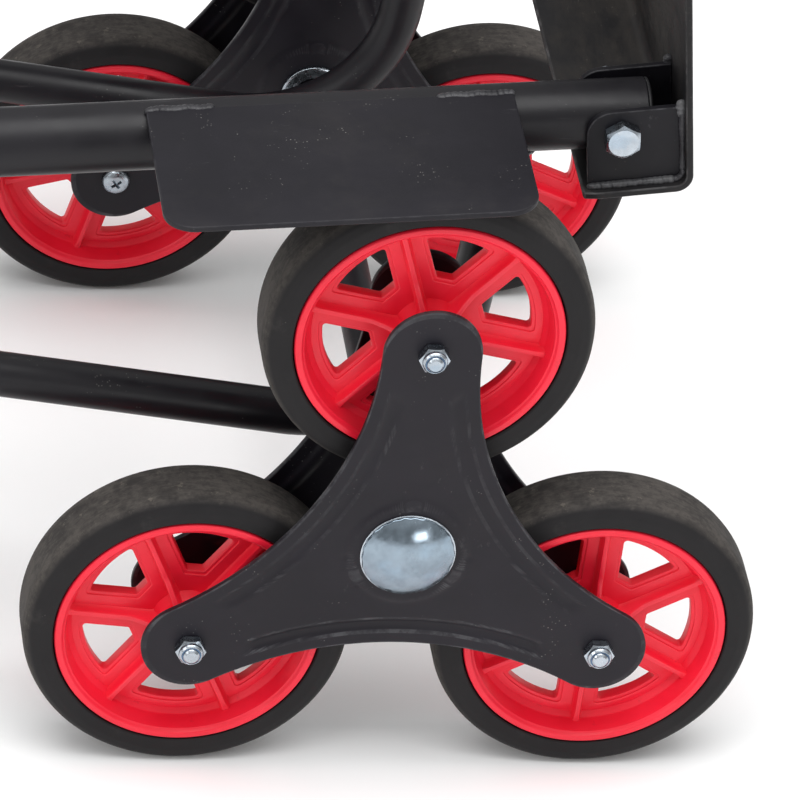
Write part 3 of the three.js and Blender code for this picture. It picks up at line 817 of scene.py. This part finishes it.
def thread_tip(r, y_tip, y_base, pitch=1.25):
    prof = [(0.0, y_tip), (r - 1.0, y_tip), (r - 0.35, y_tip + 0.5)]
    y = y_tip + 0.5
    while y < y_base - pitch:
        prof += [(r, y + pitch * 0.35), (r - 0.42, y + pitch * 0.85)]
        y += pitch
    prof += [(r, y_base), (0.0, y_base)]
    return lathe(prof, 40)


def star_radius(theta):
    half, low = ARM * math.cos(math.radians(30)), ARM / 2
    k = WAIST_R - LOBE_R
    d = (half * half + low * low - k * k) / (2 * (low - k))
    R = d - WAIST_R
    phi = abs((math.degrees(theta) - 90.0 + 60.0) % 120.0 - 60.0)
    tx, tz = half - LOBE_R * half / math.hypot(half, d - low), -low - LOBE_R * (d - low) / math.hypot(half, d - low)
    lim = abs(math.degrees(math.atan2(tz, tx)) + 30.0)
    p = math.radians(phi)
    if phi <= lim:
        return ARM * math.cos(p) + math.sqrt(max(0.0, LOBE_R**2 - (ARM * math.sin(p)) ** 2))
    q = math.radians(60.0 - phi)
    return d * math.cos(q) - math.sqrt(max(0.0, R * R - (d * math.sin(q)) ** 2))


def smooth01(t):
    t = np.clip(t, 0, 1)
    return t * t * (3 - 2 * t)


def star_relief(x, z):
    """Height of the pressing, positive outwards: a raised boss round the hub and a groove along each concave side."""
    half, low = ARM * math.cos(math.radians(30)), ARM / 2
    k = WAIST_R - LOBE_R
    d = (half * half + low * low - k * k) / (2 * (low - k))
    R = d - WAIST_R
    g = np.zeros_like(x)
    for side in range(3):
        a = math.radians(-90 + 120 * side)
        n = np.array([math.cos(a), math.sin(a)])
        t = np.array([-n[1], n[0]])
        px, pz = x - d * n[0], z - d * n[1]
        e = np.hypot(px, pz) - R
        s = x * t[0] + z * t[1]
        across = np.abs(e - 10.6) / 4.4
        prof = np.where(across < 1, 0.5 * (1 + np.cos(math.pi * np.clip(across, 0, 1) ** 1.5)), 0.0)
        ends = 1 - smooth01((np.abs(s) - 68.0) / 5.0)
        g -= (1.7 if side == 0 else 1.15) * prof * ends
    r = np.hypot(x, z)
    g += 1.3 * (1 - smooth01((r - 27.0) / 4.0))
    for sx in (-1, 1):
        q = np.hypot(x - sx * 29.0, (z + 3.0)) / 3.6
        g -= 0.55 * np.where(q < 1, 0.5 * (1 + np.cos(math.pi * np.clip(q, 0, 1))), 0)
    return g


def star_plate(outer):
    """A pressed star plate; the outer one has its face at y 0, looking along -Y, and the inner one is its mirror image."""
    raw = np.linspace(0, 2 * math.pi, 4001)[:-1]
    rr = np.array([star_radius(t) for t in raw])
    px, pz = rr * np.cos(raw), rr * np.sin(raw)
    length = np.r_[0, np.cumsum(np.hypot(np.diff(np.r_[px, px[0]]), np.diff(np.r_[pz, pz[0]])))]
    n = 372
    theta = np.interp(np.linspace(0, length[-1], n, endpoint=False), length, np.r_[raw, 2 * math.pi])
    ro = np.array([star_radius(t) for t in theta])
    r_in = 10.7
    rings = []
    m = 46
    fr = np.linspace(0, 1, m)
    c, s = np.cos(theta), np.sin(theta)

    def face(f, sign, drop=0.0):
        r = r_in + f * (ro - r_in)
        x, z = r * c, r * s
        g = star_relief(x, z)
        y = -g if sign < 0 else PLATE_T - g
        return np.c_[x, y + drop * (1 if sign < 0 else -1), z]

    for f in fr[:-1]:
        rings.append(face(f, -1))
    for inset, drop in ((0.55, 0.0), (0.22, 0.12), (0.0, 0.5)):
        r = ro - inset
        x, z = r * c, r * s
        rings.append(np.c_[x, -star_relief(x, z) + drop, z])
    for inset, drop in ((0.0, 0.5), (0.22, 0.12), (0.55, 0.0)):
        r = ro - inset
        x, z = r * c, r * s
        rings.append(np.c_[x, PLATE_T - star_relief(x, z) - drop, z])
    for f in fr[:-1][::-1][::1]:
        rings.append(face(f, 1))
    v = np.vstack(rings)
    k = len(rings)
    faces = []
    for a in range(k):
        b = (a + 1) % k
        for i in range(n):
            j = (i + 1) % n
            faces.append((a * n + i, a * n + j, b * n + j, b * n + i))
    if not outer:
        v = v * np.array([1, -1, 1]) + np.array([0, STAR_T, 0])
    return v, faces


# ------------------------------------------------------------------ wheel sets
def wheel_hole_shape(grow):
    off, inner, outer = 10.0 - grow, 27.3 - grow, 49.5 + grow
    apex = off / math.sin(math.radians(30))
    c, s = math.cos(math.radians(30)), math.sin(math.radians(30))
    t1 = (inner - apex) / c
    t2 = -apex * c + math.sqrt(apex * apex * c * c - apex * apex + outer * outer)
    a = (apex + t1 * c, t1 * s)
    b = (apex + t2 * c, t2 * s)
    half = math.atan2(b[1], b[0])
    pts = [(a[0], a[1], 1.5), (a[0], -a[1], 1.5), (b[0], -b[1], 1.6)]
    for i in range(1, 8):
        t = -half + 2 * half * i / 8
        pts.append((outer * math.cos(t), outer * math.sin(t), 0))
    pts.append((b[0], b[1], 1.6))
    return rounded(pts, 5)


def rim_parts(spoke):
    mid = STAR_T / 2
    web0, web1 = mid - 4, mid + 4
    half_prof = [
        (64.2, mid, 0), (64.2, W0 + 1.2, 0.8), (63.6, W0 + 0.05, 0.9), (60.9, W0 + 0.05, 0.9), (60.0, W0 + 1.4, 0.8),
        (59.2, W0 + 2.0, 0.4), (57.4, web0 - 2.6, 2.0), (54.6, web0 + 0.2, 1.6), (54.6, mid, 0),
    ]
    near = profile_round(half_prof, False, 4)
    far = [(r, 2 * mid - y) for r, y in reversed(near)][1:-1]
    barrel = lathe(near + far, 120, True)
    # the web: a plate with six windows, and a thinner lip inside each window
    webs = []
    for grow, thick, bevel in ((1.7, 8.0, 0.6), (0.0, 6.4, 0.7)):
        hole = np.array(wheel_hole_shape(grow))
        loops = [[(57.0 * math.cos(t), 57.0 * math.sin(t)) for t in np.linspace(0, 2 * math.pi, 120, endpoint=False)]]
        for i in range(6):
            t = math.radians(30 + 60 * i)
            loops.append([(x * math.cos(t) - y * math.sin(t), x * math.sin(t) + y * math.cos(t)) for x, y in hole])
        webs.append(to_xz(outline_plate(loops, thick, bevel), mid))
    hub_prof = profile_round(
        [(4.3, 4.3, 0.3), (12.6, 4.3, 0.8), (13.4, web0 - 5, 2), (16.5, web0 + 0.5, 3), (16.5, web1 - 0.5, 3), (13.4, web1 + 5, 2), (12.6, STAR_T - 4.3, 0.8), (4.3, STAR_T - 4.3, 0.3)], True, 4,
    )
    hub = lathe(hub_prof, 64, True)
    out = [barrel, *webs, hub]
    for i in range(6):
        for sign in (-1, 1):
            # a thin radial rib on each spoke, taller towards the hub
            n = 24
            xs = np.linspace(12.0, 58.8, n)
            rows = []
            for x in xs:
                tall = web0 - float(np.interp(x, (12, 17, 22, 28, 59.2), (10.5, 12.6, 15.6, 18.0, 18.4)))
                fil = 1.5 * (smooth01((x - 53.5) / 5.0) + smooth01((18 - x) / 6.0))
                base = 1.75 + fil
                ring = []
                for yy, hw in ((0.6, base + 1.1), (0.0, base + 0.9), (-0.9, base + 0.1), (-tall + 0.7, 1.35 + fil * 0.4), (-tall + 0.15, 1.1 + fil * 0.3), (-tall, 0.7 + fil * 0.2)):
                    ring.append((x, yy, hw))
                full = [(x, y, h) for x, y, h in ring] + [(x, y, -h) for x, y, h in reversed(ring)]
                rows.append(full)
            rows = np.array(rows)
            k = rows.shape[1]
            v = rows.reshape(-1, 3)
            y = v[:, 1] + web0 if sign < 0 else web1 - v[:, 1]
            v = np.c_[v[:, 0], y, v[:, 2]]
            f = [(a * k + b, a * k + (b + 1) % k, (a + 1) * k + (b + 1) % k, (a + 1) * k + b) for a in range(n - 1) for b in range(k)]
            f += [tuple(range(k)), tuple((n - 1) * k + b for b in range(k))[::-1]]
            out.append(turn_y((v, f), 60 * i))
    return [turn_y(p, spoke) for p in out]


def tyre_part():
    mid = STAR_T / 2
    R = 79.06
    half = profile_round(
        [(64.9, mid, 0), (64.9, W0 + 0.9, 0.5), (65.6, W0 + 0.1, 0.5), (71.2, W0 + 0.0, 6), (75.6, W0 + 1.3, 5), (78.0, W0 + 4.0, 5), (R, W0 + 8.0, 7), (R, mid, 0)], False, 6,
    )
    far = [(r, 2 * mid - y) for r, y in reversed(half)][1:-1]
    return lathe(half + far, 144, True)


def nut_parts(x, z):
    hexa = hex_head(13.0, 5.2, -6.0, 0.0, 0.93, base_round=1)
    hexa = (hexa[0] + np.array([0, 0.4, 0]), hexa[1])
    collar = lathe(profile_round([(4.9, -5.0), (6.0, -5.0), (6.0, -6.9, 0.9), (5.0, -8.1, 0.5), (4.7, -7.9), (4.7, -5.0)], True, 4), 60, True)
    ring = lathe(profile_round([(3.7, -5.2), (4.75, -5.2), (4.75, -7.8, 0.3), (4.0, -7.75, 0.3), (3.7, -7.2)], True, 3), 48, True)
    return [(shift(hexa, x, 0, z), zinc), (shift(collar, x, 0, z), zinc), (shift(ring, x, 0, z), nylon)]


def pan_head(x, z):
    y = STAR_T + 0.3
    dome = lathe(profile_round([(0.0, y), (7.25, y, 0.3), (7.25, y + 1.7, 0.9), (6.4, y + 3.2, 2.0), (4.6, y + 4.2, 3.0), (0.0, y + 4.7)], False, 5), 64)
    tools = []
    for q in (35, 125):
        w0_, w1_, l0, l1 = 0.5, 0.95, 1.6, 3.9
        b = [(-l0, y + 1.6, -w0_), (l0, y + 1.6, -w0_), (l0, y + 1.6, w0_), (-l0, y + 1.6, w0_), (-l1, y + 6, -w1_), (l1, y + 6, -w1_), (l1, y + 6, w1_), (-l1, y + 6, w1_)]
        f = [(0, 1, 2, 3), (7, 6, 5, 4), (0, 4, 5, 1), (1, 5, 6, 2), (2, 6, 7, 3), (3, 7, 4, 0)]
        tools.append(turn_y(outward((np.array(b, float), f)), q))
    return shift(cut(outward(dome), *[outward(t) for t in tools]), x, 0, z)


ARMS = {"top": 90, "back": 210, "front": 330}
SPOKES = {"right": {"top": 48, "back": 54.5, "front": 29}, "left": {"top": 20, "back": 15.5, "front": 37}}
tyre_shell = tyre_part()
pan = pan_head(0, 0)
for side in ("right", "left"):
    left = side == "left"
    for arm, deg in ARMS.items():
        x, z = ARM * math.cos(math.radians(deg)), ARM * math.sin(math.radians(deg))
        lo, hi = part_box(f"tyre_{arm}_{side}")
        centre = [(a + b) / 2 for a, b in zip(lo, hi)]
        body = f"wheel_{arm}_{side}"
        t = piece(f"tyre_{arm}_{side}_look", [(shift(tyre_shell, x, 0, z), tyre_rubber)], M_AXLE, body, [f"tyre_{arm}_{side}"], "tyre", left, centre)
        piece(f"rim_{arm}_{side}_look", [(shift(p, x, 0, z), rim_red) for p in rim_parts(SPOKES[side][arm])], M_AXLE, body, [f"rim_{arm}_{side}"], "red_plastic", left, centre, sharp=40)
        piece(f"wheel_nut_{arm}_{side}_look", nut_parts(x, z), M_AXLE, f"star_{side}", [f"wheel_nut_{arm}_{side}"], "zinc", left, sharp=22)
        tip = shift(thread_tip(3.95, -9.5, -1.0), x, 0, z)
        shank = shift(lathe([(0, -1.0), (3.95, -1.0), (3.95, STAR_T + 0.5), (0, STAR_T + 0.5)], 32), x, 0, z)
        piece(f"wheel_bolt_{arm}_{side}_look", [(tip, zinc), (shank, zinc), (shift(pan, x, 0, z), zinc)], M_AXLE, f"star_{side}", [f"wheel_bolt_{arm}_{side}"], "zinc", left)

outer_plate, inner_plate = star_plate(True), star_plate(False)
both("star_plate_outer_look", [(outer_plate, plate_black)], M_AXLE, "star_@", ["star_plate_outer"], "plate_steel", sharp=45)
both("star_plate_inner_look", [(inner_plate, plate_black)], M_AXLE, "star_@", ["star_plate_inner"], "plate_steel", sharp=45)
hub_tube = lathe(profile_round([(10.5, 3.3, 0.2), (15, 3.3, 0.4), (15, STAR_T - 3.3, 0.4), (10.5, STAR_T - 3.3, 0.2)], True, 3), 64, True)
both("star_hub_look", [(hub_tube, tube_black)], M_AXLE, "star_@", ["star_hub"], "tube_steel")


def crimp(r, y, t):
    """Small teeth and dents round the pressed cap's skirt."""
    k = float(smooth01((r - 20.6) / 1.5)) * float(smooth01((y + 5.4) / 2.0))
    return r + k * (0.16 * math.sin(26 * t) + 0.10 * math.sin(11 * t + 1.0)) - k * 0.1, y + k * 0.12 * math.sin(26 * t + 0.6)


dome = 37.0
cap_profile = [(22.1 * k / 14, -10.9 + dome - math.sqrt(dome * dome - (22.1 * k / 14) ** 2)) for k in range(15)]
cap_profile += profile_round([(22.1, -3.15), (22.5, -2.7, 0.3), (22.1, -2.3, 0.3), (21.3, -3.6, 1), (17, -5.8, 4), (0, -8.2)], False, 5)
cap = lathe(cap_profile, 156, mod=crimp)
seat = lathe(profile_round([(12, -1.5), (22.9, -1.5, 0.25), (23.1, -2.0, 0.25), (22.6, -2.25, 0.2), (12, -2.2)], True, 3), 96, True)
both("hub_cap_look", [(cap, zinc_cap), (seat, zinc)], M_AXLE, "frame", ["hub_cap"], "zinc")
washer = lathe(profile_round([(10.4, STAR_T + 1.3, 0.2), (17.3, STAR_T + 1.3, 0.3), (17.5, STAR_T + 3.6, 0.5), (16.4, STAR_T + 4.0, 0.6), (12.6, STAR_T + 3.0, 0.8), (10.4, STAR_T + 3.0, 0.3)], True, 4), 80, True)
both("hub_washer_look", [(washer, zinc)], M_AXLE, "frame", ["hub_washer"], "zinc")
axle_bar = lathe(profile_round([(0, -2.9), (9.8, -2.9, 0.6), (9.8, WIDTH + 2.9, 0.6), (0, WIDTH + 2.9)], False, 3), 64)
piece("axle_look", [(axle_bar, tube_black)], M_AXLE, "frame", ["axle"], "tube_steel")

# ------------------------------------------------------------------ frame
rail_line = [(RAIL_START, RAIL_Y, RAIL_H)] + [(s, RAIL_Y, RAIL_H) for s in np.linspace(RAIL_START, RAIL_END, 20)[1:-1]] + [(RAIL_END, RAIL_Y, RAIL_H)]
both("rail_look", [(hollow(rail_line, RAIL_R, 14.8, 64), tube_black)], M_RAIL, "frame", ["rail"], "tube_steel")
plug = lathe(profile_round([(0, 113.6), (14.3, 113.6, 0.5), (14.3, RAIL_END + 0.25, 0), (16.3, RAIL_END + 0.25, 0.3), (16.2, RAIL_END + 1.6, 0.8), (13.6, RAIL_END + 2.3, 2), (0, RAIL_END + 2.35)], False, 4), 64)
both("rail_plug_look", [(shift(along_x(plug), 0, RAIL_Y, RAIL_H), black_plastic)], M_RAIL, "frame", ["rail_plug"], "black_plastic")

bow_pts = route([(-560, RAIL_Y, RAIL_H), (-508, RAIL_Y, 120.9), (25.4, RAIL_Y, 0.35), (59.2, RAIL_Y, RAIL_H)], [70, 74], 3.0)
# the two ends stop inside the rail
d0 = np.array([-508.0 + 560, 0, 120.9 - RAIL_H])
bow_pts[0] = bow_pts[0] + d0 / np.linalg.norm(d0) * 6
d1 = np.array([25.4 - 59.2, 0, 0.35 - RAIL_H])
bow_pts[-1] = bow_pts[-1] + d1 / np.linalg.norm(d1) * 6
bow = sweep(bow_pts, BOW_R, 48)
axis_x = (1, 0, 0)
w_up = weld_ring((-508, RAIL_Y, 120.9), -d0, BOW_R, (0, RAIL_Y, RAIL_H), axis_x, RAIL_R, 2.3)
w_dn = weld_ring((25.4, RAIL_Y, 0.35), -d1, BOW_R, (0, RAIL_Y, RAIL_H), axis_x, RAIL_R, 2.3)


def axle_welds():
    """Two runs where the bow tube lies on the axle."""
    out = []
    k = int(np.argmin(np.hypot(bow_pts[:, 0], bow_pts[:, 2])))
    c = bow_pts[k]
    n = c[[0, 2]] / np.linalg.norm(c[[0, 2]])
    t = np.array([-n[1], n[0]])
    for sign in (-1, 1):
        base = n * 9.0 + t * sign * 5.2
        out.append(bead([(base[0], RAIL_Y - 8, base[1]), (base[0] + n[0] * 0.4, RAIL_Y, base[1] + n[1] * 0.4), (base[0], RAIL_Y + 8, base[1])], 2.7, 2.6))
    return out


both("bow_tube_look", [(bow, tube_black), (w_up, weld_black), (w_dn, weld_black)] + [(w, weld_black) for w in axle_welds()], M_RAIL, "frame", ["bow_tube"], "tube_steel")

for name, s in zip(("lower", "middle", "upper"), CROSS_S):
    y_in = RAIL_Y + 8
    line = [(s, y, RAIL_H) for y in np.linspace(y_in, WIDTH - y_in, 9)]
    a = weld_ring((s, WIDTH / 2, RAIL_H), (0, -1, 0), CROSS_R, (0, RAIL_Y, RAIL_H), axis_x, RAIL_R, 2.2)
    b = weld_ring((s, WIDTH / 2, RAIL_H), (0, 1, 0), CROSS_R, (0, WIDTH - RAIL_Y, RAIL_H), axis_x, RAIL_R, 2.2)
    piece(f"cross_bar_{name}_look", [(sweep(line, CROSS_R, 48), tube_black), (a, weld_black), (b, weld_black)], M_RAIL, "frame", [f"cross_bar_{name}"], "tube_steel")

# guards over the wheels
G = dict(s0=-117.0, s1=57.0, y0=-9.5, y1=90.5, h=196.3, t=3.0, r=15.0)
loop = rounded([(G["s0"], G["y0"], G["r"]), (G["s1"], G["y0"], G["r"]), (G["s1"], G["y1"], 0.6), (G["s0"], G["y1"], 0.6)], 12)
gv, gf = outline_plate([loop], G["t"], 0.7, 4)
guard = (np.c_[gv[:, 0], gv[:, 1], gv[:, 2] + G["h"] + G["t"] / 2], gf)
top = G["h"] + G["t"]
guard_welds = []
for a, b in ((-116.0, -86.0), (22.0, 56.0)):
    xs = np.linspace(a, b, 12)
    guard_welds.append(bead([(x, G["y1"] + 0.4 + 0.5 * math.sin(x * 0.5), top - 0.9) for x in xs], 2.5, 2.8, 0.75))
    guard_welds.append(bead([(x, G["y1"] - 0.8, G["h"] + 0.3) for x in xs[1:-1]], 1.8, 2.6))
both("wheel_guard_look", [(guard, plate_grey)] + [(w, weld_black) for w in guard_welds], M_RAIL, "frame", ["wheel_guard"], "plate_steel")

# handle
bend = math.radians(50)
grip_lo, grip_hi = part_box("handle_grip")
grip_c = Vector(((grip_lo.x + grip_hi.x) / 2, 0, (grip_lo.z + grip_hi.z) / 2))
g_rail = M_RAIL.inverted() @ grip_c
reach = 100.0 * math.tan(bend / 2)
corner = np.array([-790.0 - reach, RAIL_Y, RAIL_H])
far_y = WIDTH - RAIL_Y
handle_pts = route(
    [(HANDLE_IN - 60, RAIL_Y, RAIL_H), corner, (g_rail.x, RAIL_Y, g_rail.z), (g_rail.x, far_y, g_rail.z), (corner[0], far_y, RAIL_H), (HANDLE_IN - 60, far_y, RAIL_H)],
    [100.0, 60.0, 60.0, 100.0], 4.0,
)
collars = []
for y in (RAIL_Y, far_y):
    collar = lathe(profile_round([(13.9, RAIL_START - 3.5, 0.3), (16.2, RAIL_START - 3.0, 0.8), (16.3, RAIL_START - 0.2, 0.3), (13.9, RAIL_START - 0.2, 0)], True, 4), 56, True)
    collars.append((shift(along_x(collar), 0, y, RAIL_H), black_plastic))
piece("handle_bow_look", [(sweep(handle_pts, HANDLE_R, 48), tube_black)] + collars, M_RAIL, "frame", ["handle_bow"], "tube_steel")


def grip_shell():
    y0, y1 = WIDTH / 2 - 70, WIDTH / 2 + 70
    R = 17.75
    prof = [(13.9, y0), (16.6, y0), (17.6, y0 + 0.6), (R, y0 + 1.8), (R, y0 + 7.0)]
    y = y0 + 9
    while y < y1 - 9:
        prof += [(R, y), (R - 0.25, y + 0.5), (R - 1.1, y + 0.9), (R - 1.1, y + 1.9), (R - 0.25, y + 2.3), (R, y + 2.8)]
        y += 5.08
    prof += [(R, y1 - 7.0), (R, y1 - 1.8), (17.6, y1 - 0.6), (16.6, y1), (13.9, y1)]
    return lathe(prof, 72, True)


g_axle = M_AXLE.inverted() @ grip_c
piece("handle_grip_look", [(shift(grip_shell(), g_axle.x, 0, g_axle.z), grip_rubber)], M_AXLE, "frame", ["handle_grip"], "grip_rubber")
near, far = RAIL_Y - RAIL_R, RAIL_Y + RAIL_R
bolt = lathe(profile_round([(0, near - 3.4), (2.4, near - 3.3, 2), (4.6, near - 2.1, 1.5), (5.4, near - 0.2, 0.4), (3.0, near + 1.0), (3.0, far), (5.3, far + 0.1, 0.3), (5.3, far + 4.4, 0.6), (4.0, far + 5.0, 0.8), (0, far + 5.0)], False, 4), 48)
both("handle_bolt_look", [(shift(bolt, HANDLE_IN - 40, 0, RAIL_H), zinc)], M_RAIL, "frame", ["handle_bolt"], "zinc")

# ------------------------------------------------------------------ toe plate
A0, AIN, T, BF, BTOP, RB, CR = -19.5, 29.8, 3.5, -27.5, 212.0, 5.0, 22.0
TY0 = 70.0


def toe_shell():
    """The bent plate, as cross-sections along its developed length u."""
    flat = (AIN - RB) - A0
    arc = RB * math.pi / 2
    tall = BTOP - (BF + RB)
    us = [0.0, 0.12, 0.3, 0.6] + list(np.linspace(1.2, flat, 8)) + list(flat + arc * np.linspace(0, 1, 13)[1:]) + list(flat + arc + np.linspace(0, tall - CR, 22)[1:])
    us += [flat + arc + tall - CR + CR * math.sin(math.radians(a)) for a in range(6, 91, 6)]
    total = flat + arc + tall
    rows = []
    for u in us:
        u = min(u, total - 0.001)
        # outline of the plate here
        y_in = 0.0
        if u > total - CR:
            y_in = CR - math.sqrt(max(0.0, CR * CR - (u - (total - CR)) ** 2))
        if u < 4.0:
            y_in = 4.0 - math.sqrt(max(0.0, 16.0 - (4.0 - u) ** 2))
        ya, yb = TY0 + y_in, WIDTH - TY0 - y_in
        edge = 0.7
        squeeze = min(1.0, max(u, 0.02) / 0.6, max(total - u, 0.02) / 0.6)
        squeeze = math.sqrt(1 - (1 - squeeze) ** 2)
        sec = []
        for k in range(5):
            q = math.radians(90 * k / 4)
            sec.append((ya + edge * (1 - math.sin(q)), T - edge * (1 - math.cos(q)) if False else T - edge + edge * math.cos(math.pi / 2 - q)))
        left_side = [(ya + edge - edge * math.sin(q), T - edge + edge * math.cos(q)) for q in np.radians((0, 30, 60, 90))]
        left_low = [(ya + edge - edge * math.cos(q), edge - edge * math.sin(q)) for q in np.radians((0, 30, 60, 90))]
        right_low = [(yb - edge + edge * math.sin(q), edge - edge * math.cos(q)) for q in np.radians((0, 30, 60, 90))]
        right_top = [(yb - edge + edge * math.cos(q), T - edge + edge * math.sin(q)) for q in np.radians((0, 30, 60, 90))]
        inner = np.linspace(ya + edge, yb - edge, 14)[1:-1]
        sec = left_side + left_low + [(y, 0.0) for y in inner] + right_low + right_top + [(y, T) for y in inner[::-1]]
        row = []
        for y, w in sec:
            w = T / 2 + (w - T / 2) * squeeze
            # w runs from the inner face (0) to the outer face (T)
            if u <= flat:
                a, b = A0 + u, BF - w
            elif u <= flat + arc:
                q = (u - flat) / RB
                a, b = AIN - RB + (RB + w) * math.sin(q), BF + RB - (RB + w) * math.cos(q)
            else:
                a, b = AIN + w, BF + RB + (u - flat - arc)
            row.append((a, y, b))
        rows.append(row)
    rows = np.array(rows)
    n, k = rows.shape[0], rows.shape[1]
    v = rows.reshape(-1, 3)
    f = [(i * k + j, i * k + (j + 1) % k, (i + 1) * k + (j + 1) % k, (i + 1) * k + j) for i in range(n - 1) for j in range(k)]
    for base, flip in ((0, False), ((n - 1) * k, True)):
        # the end is a narrow strip: close it in pairs across the thickness
        m = 4 + 4
        cap_faces = []
        left_ids = list(range(0, 8))
        low = list(range(8, 20))
        right_ids = list(range(20, 28))
        high = list(range(28, 40))[::-1]
        cap_faces.append([*left_ids, low[0], high[0]])
        for i in range(len(low) - 1):
            cap_faces.append([low[i], low[i + 1], high[i + 1], high[i]])
        cap_faces.append([low[-1], *right_ids, high[-1]])
        for q in cap_faces:
            q = [base + i for i in q]
            f.append(tuple(q if flip else q[::-1]))
        del m
    return v, f


toe = toe_shell()
outer_ear = RAIL_Y - RAIL_R - 0.45 - 3.5
inner_ear = RAIL_Y + RAIL_R + 0.45


def ear(y_a):
    pts = [(-16.5, BF + 0.15, 1.0), (AIN - RB, BF + 0.15, 0.0)]
    pts += [(AIN - RB + RB * math.sin(q), BF + RB - RB * math.cos(q) + 0.15, 0) for q in np.radians((25, 50, 75))]
    pts += [(AIN - 0.15, BF + RB, 0), (AIN - 0.15, 13.2, 1.0), (-4.5, 13.2, 0.0)]
    pts += [(-4.5 + 12 * math.cos(q), 1.2 + 12 * math.sin(q), 0) for q in np.radians((100, 112, 124, 136, 148, 160, 172))]
    pts += [(-16.5, 1.2, 0)]
    v, f = outline_plate([rounded(pts, 4)], 3.5, 0.55, 3)
    return to_xz((v, f), y_a + 1.75)


def ear_welds(y_face, sign):
    """Runs of weld on one face of an ear: along the flange and up the plate, and a blob at the top."""
    y = y_face + sign * 0.5
    out = [bead([(x, y + 0.25 * math.sin(x), BF + 0.9) for x in np.linspace(-15.5, AIN - RB - 1.5, 16)], 2.3, 2.5)]
    out.append(bead([(AIN - RB - 1.5 + (RB + 0.6) * math.sin(q), y, BF + RB - (RB - 0.4) * math.cos(q)) for q in np.radians((10, 30, 50, 70, 88))], 1.9, 2.5))
    out.append(bead([(AIN - 0.9, y, b) for b in np.linspace(BF + RB + 1, 9.5, 12)], 1.7, 2.7))
    out.append(bead([(AIN - 1.2, y - sign * 1.0, b) for b in np.linspace(9.0, 15.0, 6)], 2.6, 2.6))
    return out


piece("toe_plate_look", [(toe, toe_steel)], M_TOE, "toe", ["toe_plate"], "plate_steel", sharp=50)
outer_welds = ear_welds(outer_ear, -1)
# the flange run and the top blob of the outer ear's welds take the lighter weld colour: worn metal and a painted
# highlight
both("toe_ear_outer_look", [(ear(outer_ear), ear_black), (outer_welds[0], weld_worn_highlight), (outer_welds[3], weld_worn_highlight)] + [(w, weld_black) for w in outer_welds[1:3]], M_TOE, "toe", ["toe_ear_outer"], "plate_steel")
both("toe_ear_inner_look", [(ear(inner_ear), ear_black)] + [(w, weld_black) for w in ear_welds(inner_ear + 3.5, 1)], M_TOE, "toe", ["toe_ear_inner"], "plate_steel")

head_y = outer_ear - GAP
nut_y = inner_ear + 3.5 + GAP
head = hex_head(16.0, 6.4, head_y - 6.4, 30.0, 0.9)
shank = lathe([(0, head_y - 0.5), (4.95, head_y - 0.5), (4.95, nut_y + 10.4), (4.3, nut_y + 11.0), (0, nut_y + 11.0)], 40)
both("pivot_bolt_look", [(shift(head, PIVOT_S, 0, RAIL_H), zinc), (shift(shank, PIVOT_S, 0, RAIL_H), zinc)], M_RAIL, "frame", ["pivot_bolt"], "zinc", sharp=22)
nut = hex_head(16.0, 7.2, -7.2, 0.0, 0.92)
nut = (nut[0] * np.array([1, -1, 1]) + np.array([0, nut_y, 0]), nut[1])
nut_collar = lathe(profile_round([(5.6, nut_y + 6.5), (7.6, nut_y + 6.5), (7.5, nut_y + 8.6, 0.9), (6.4, nut_y + 9.6, 0.6), (5.6, nut_y + 9.4)], True, 4), 56, True)
nut_ring = lathe(profile_round([(4.98, nut_y + 6.6), (5.65, nut_y + 6.6), (5.65, nut_y + 9.3), (4.98, nut_y + 9.1)], True, 2), 48, True)
both("pivot_nut_look", [(shift(nut, PIVOT_S, 0, RAIL_H), zinc), (shift(nut_collar, PIVOT_S, 0, RAIL_H), zinc), (shift(nut_ring, PIVOT_S, 0, RAIL_H), nylon)], M_RAIL, "frame", ["pivot_nut"], "zinc", sharp=22)

# ------------------------------------------------------------------ floor
size, cells = 30.0, 12
fv = [(-size + 2 * size * i / cells, -size + 2 * size * j / cells, 0.0) for j in range(cells + 1) for i in range(cells + 1)]
ff = [(j * (cells + 1) + i, j * (cells + 1) + i + 1, (j + 1) * (cells + 1) + i + 1, (j + 1) * (cells + 1) + i) for j in range(cells) for i in range(cells)]
fm = bpy.data.meshes.new("floor")
fm.from_pydata(fv, [], ff)
fm.materials.append(floor_material())
floor = bpy.data.objects.new("floor", fm)
scene.collection.objects.link(floor)
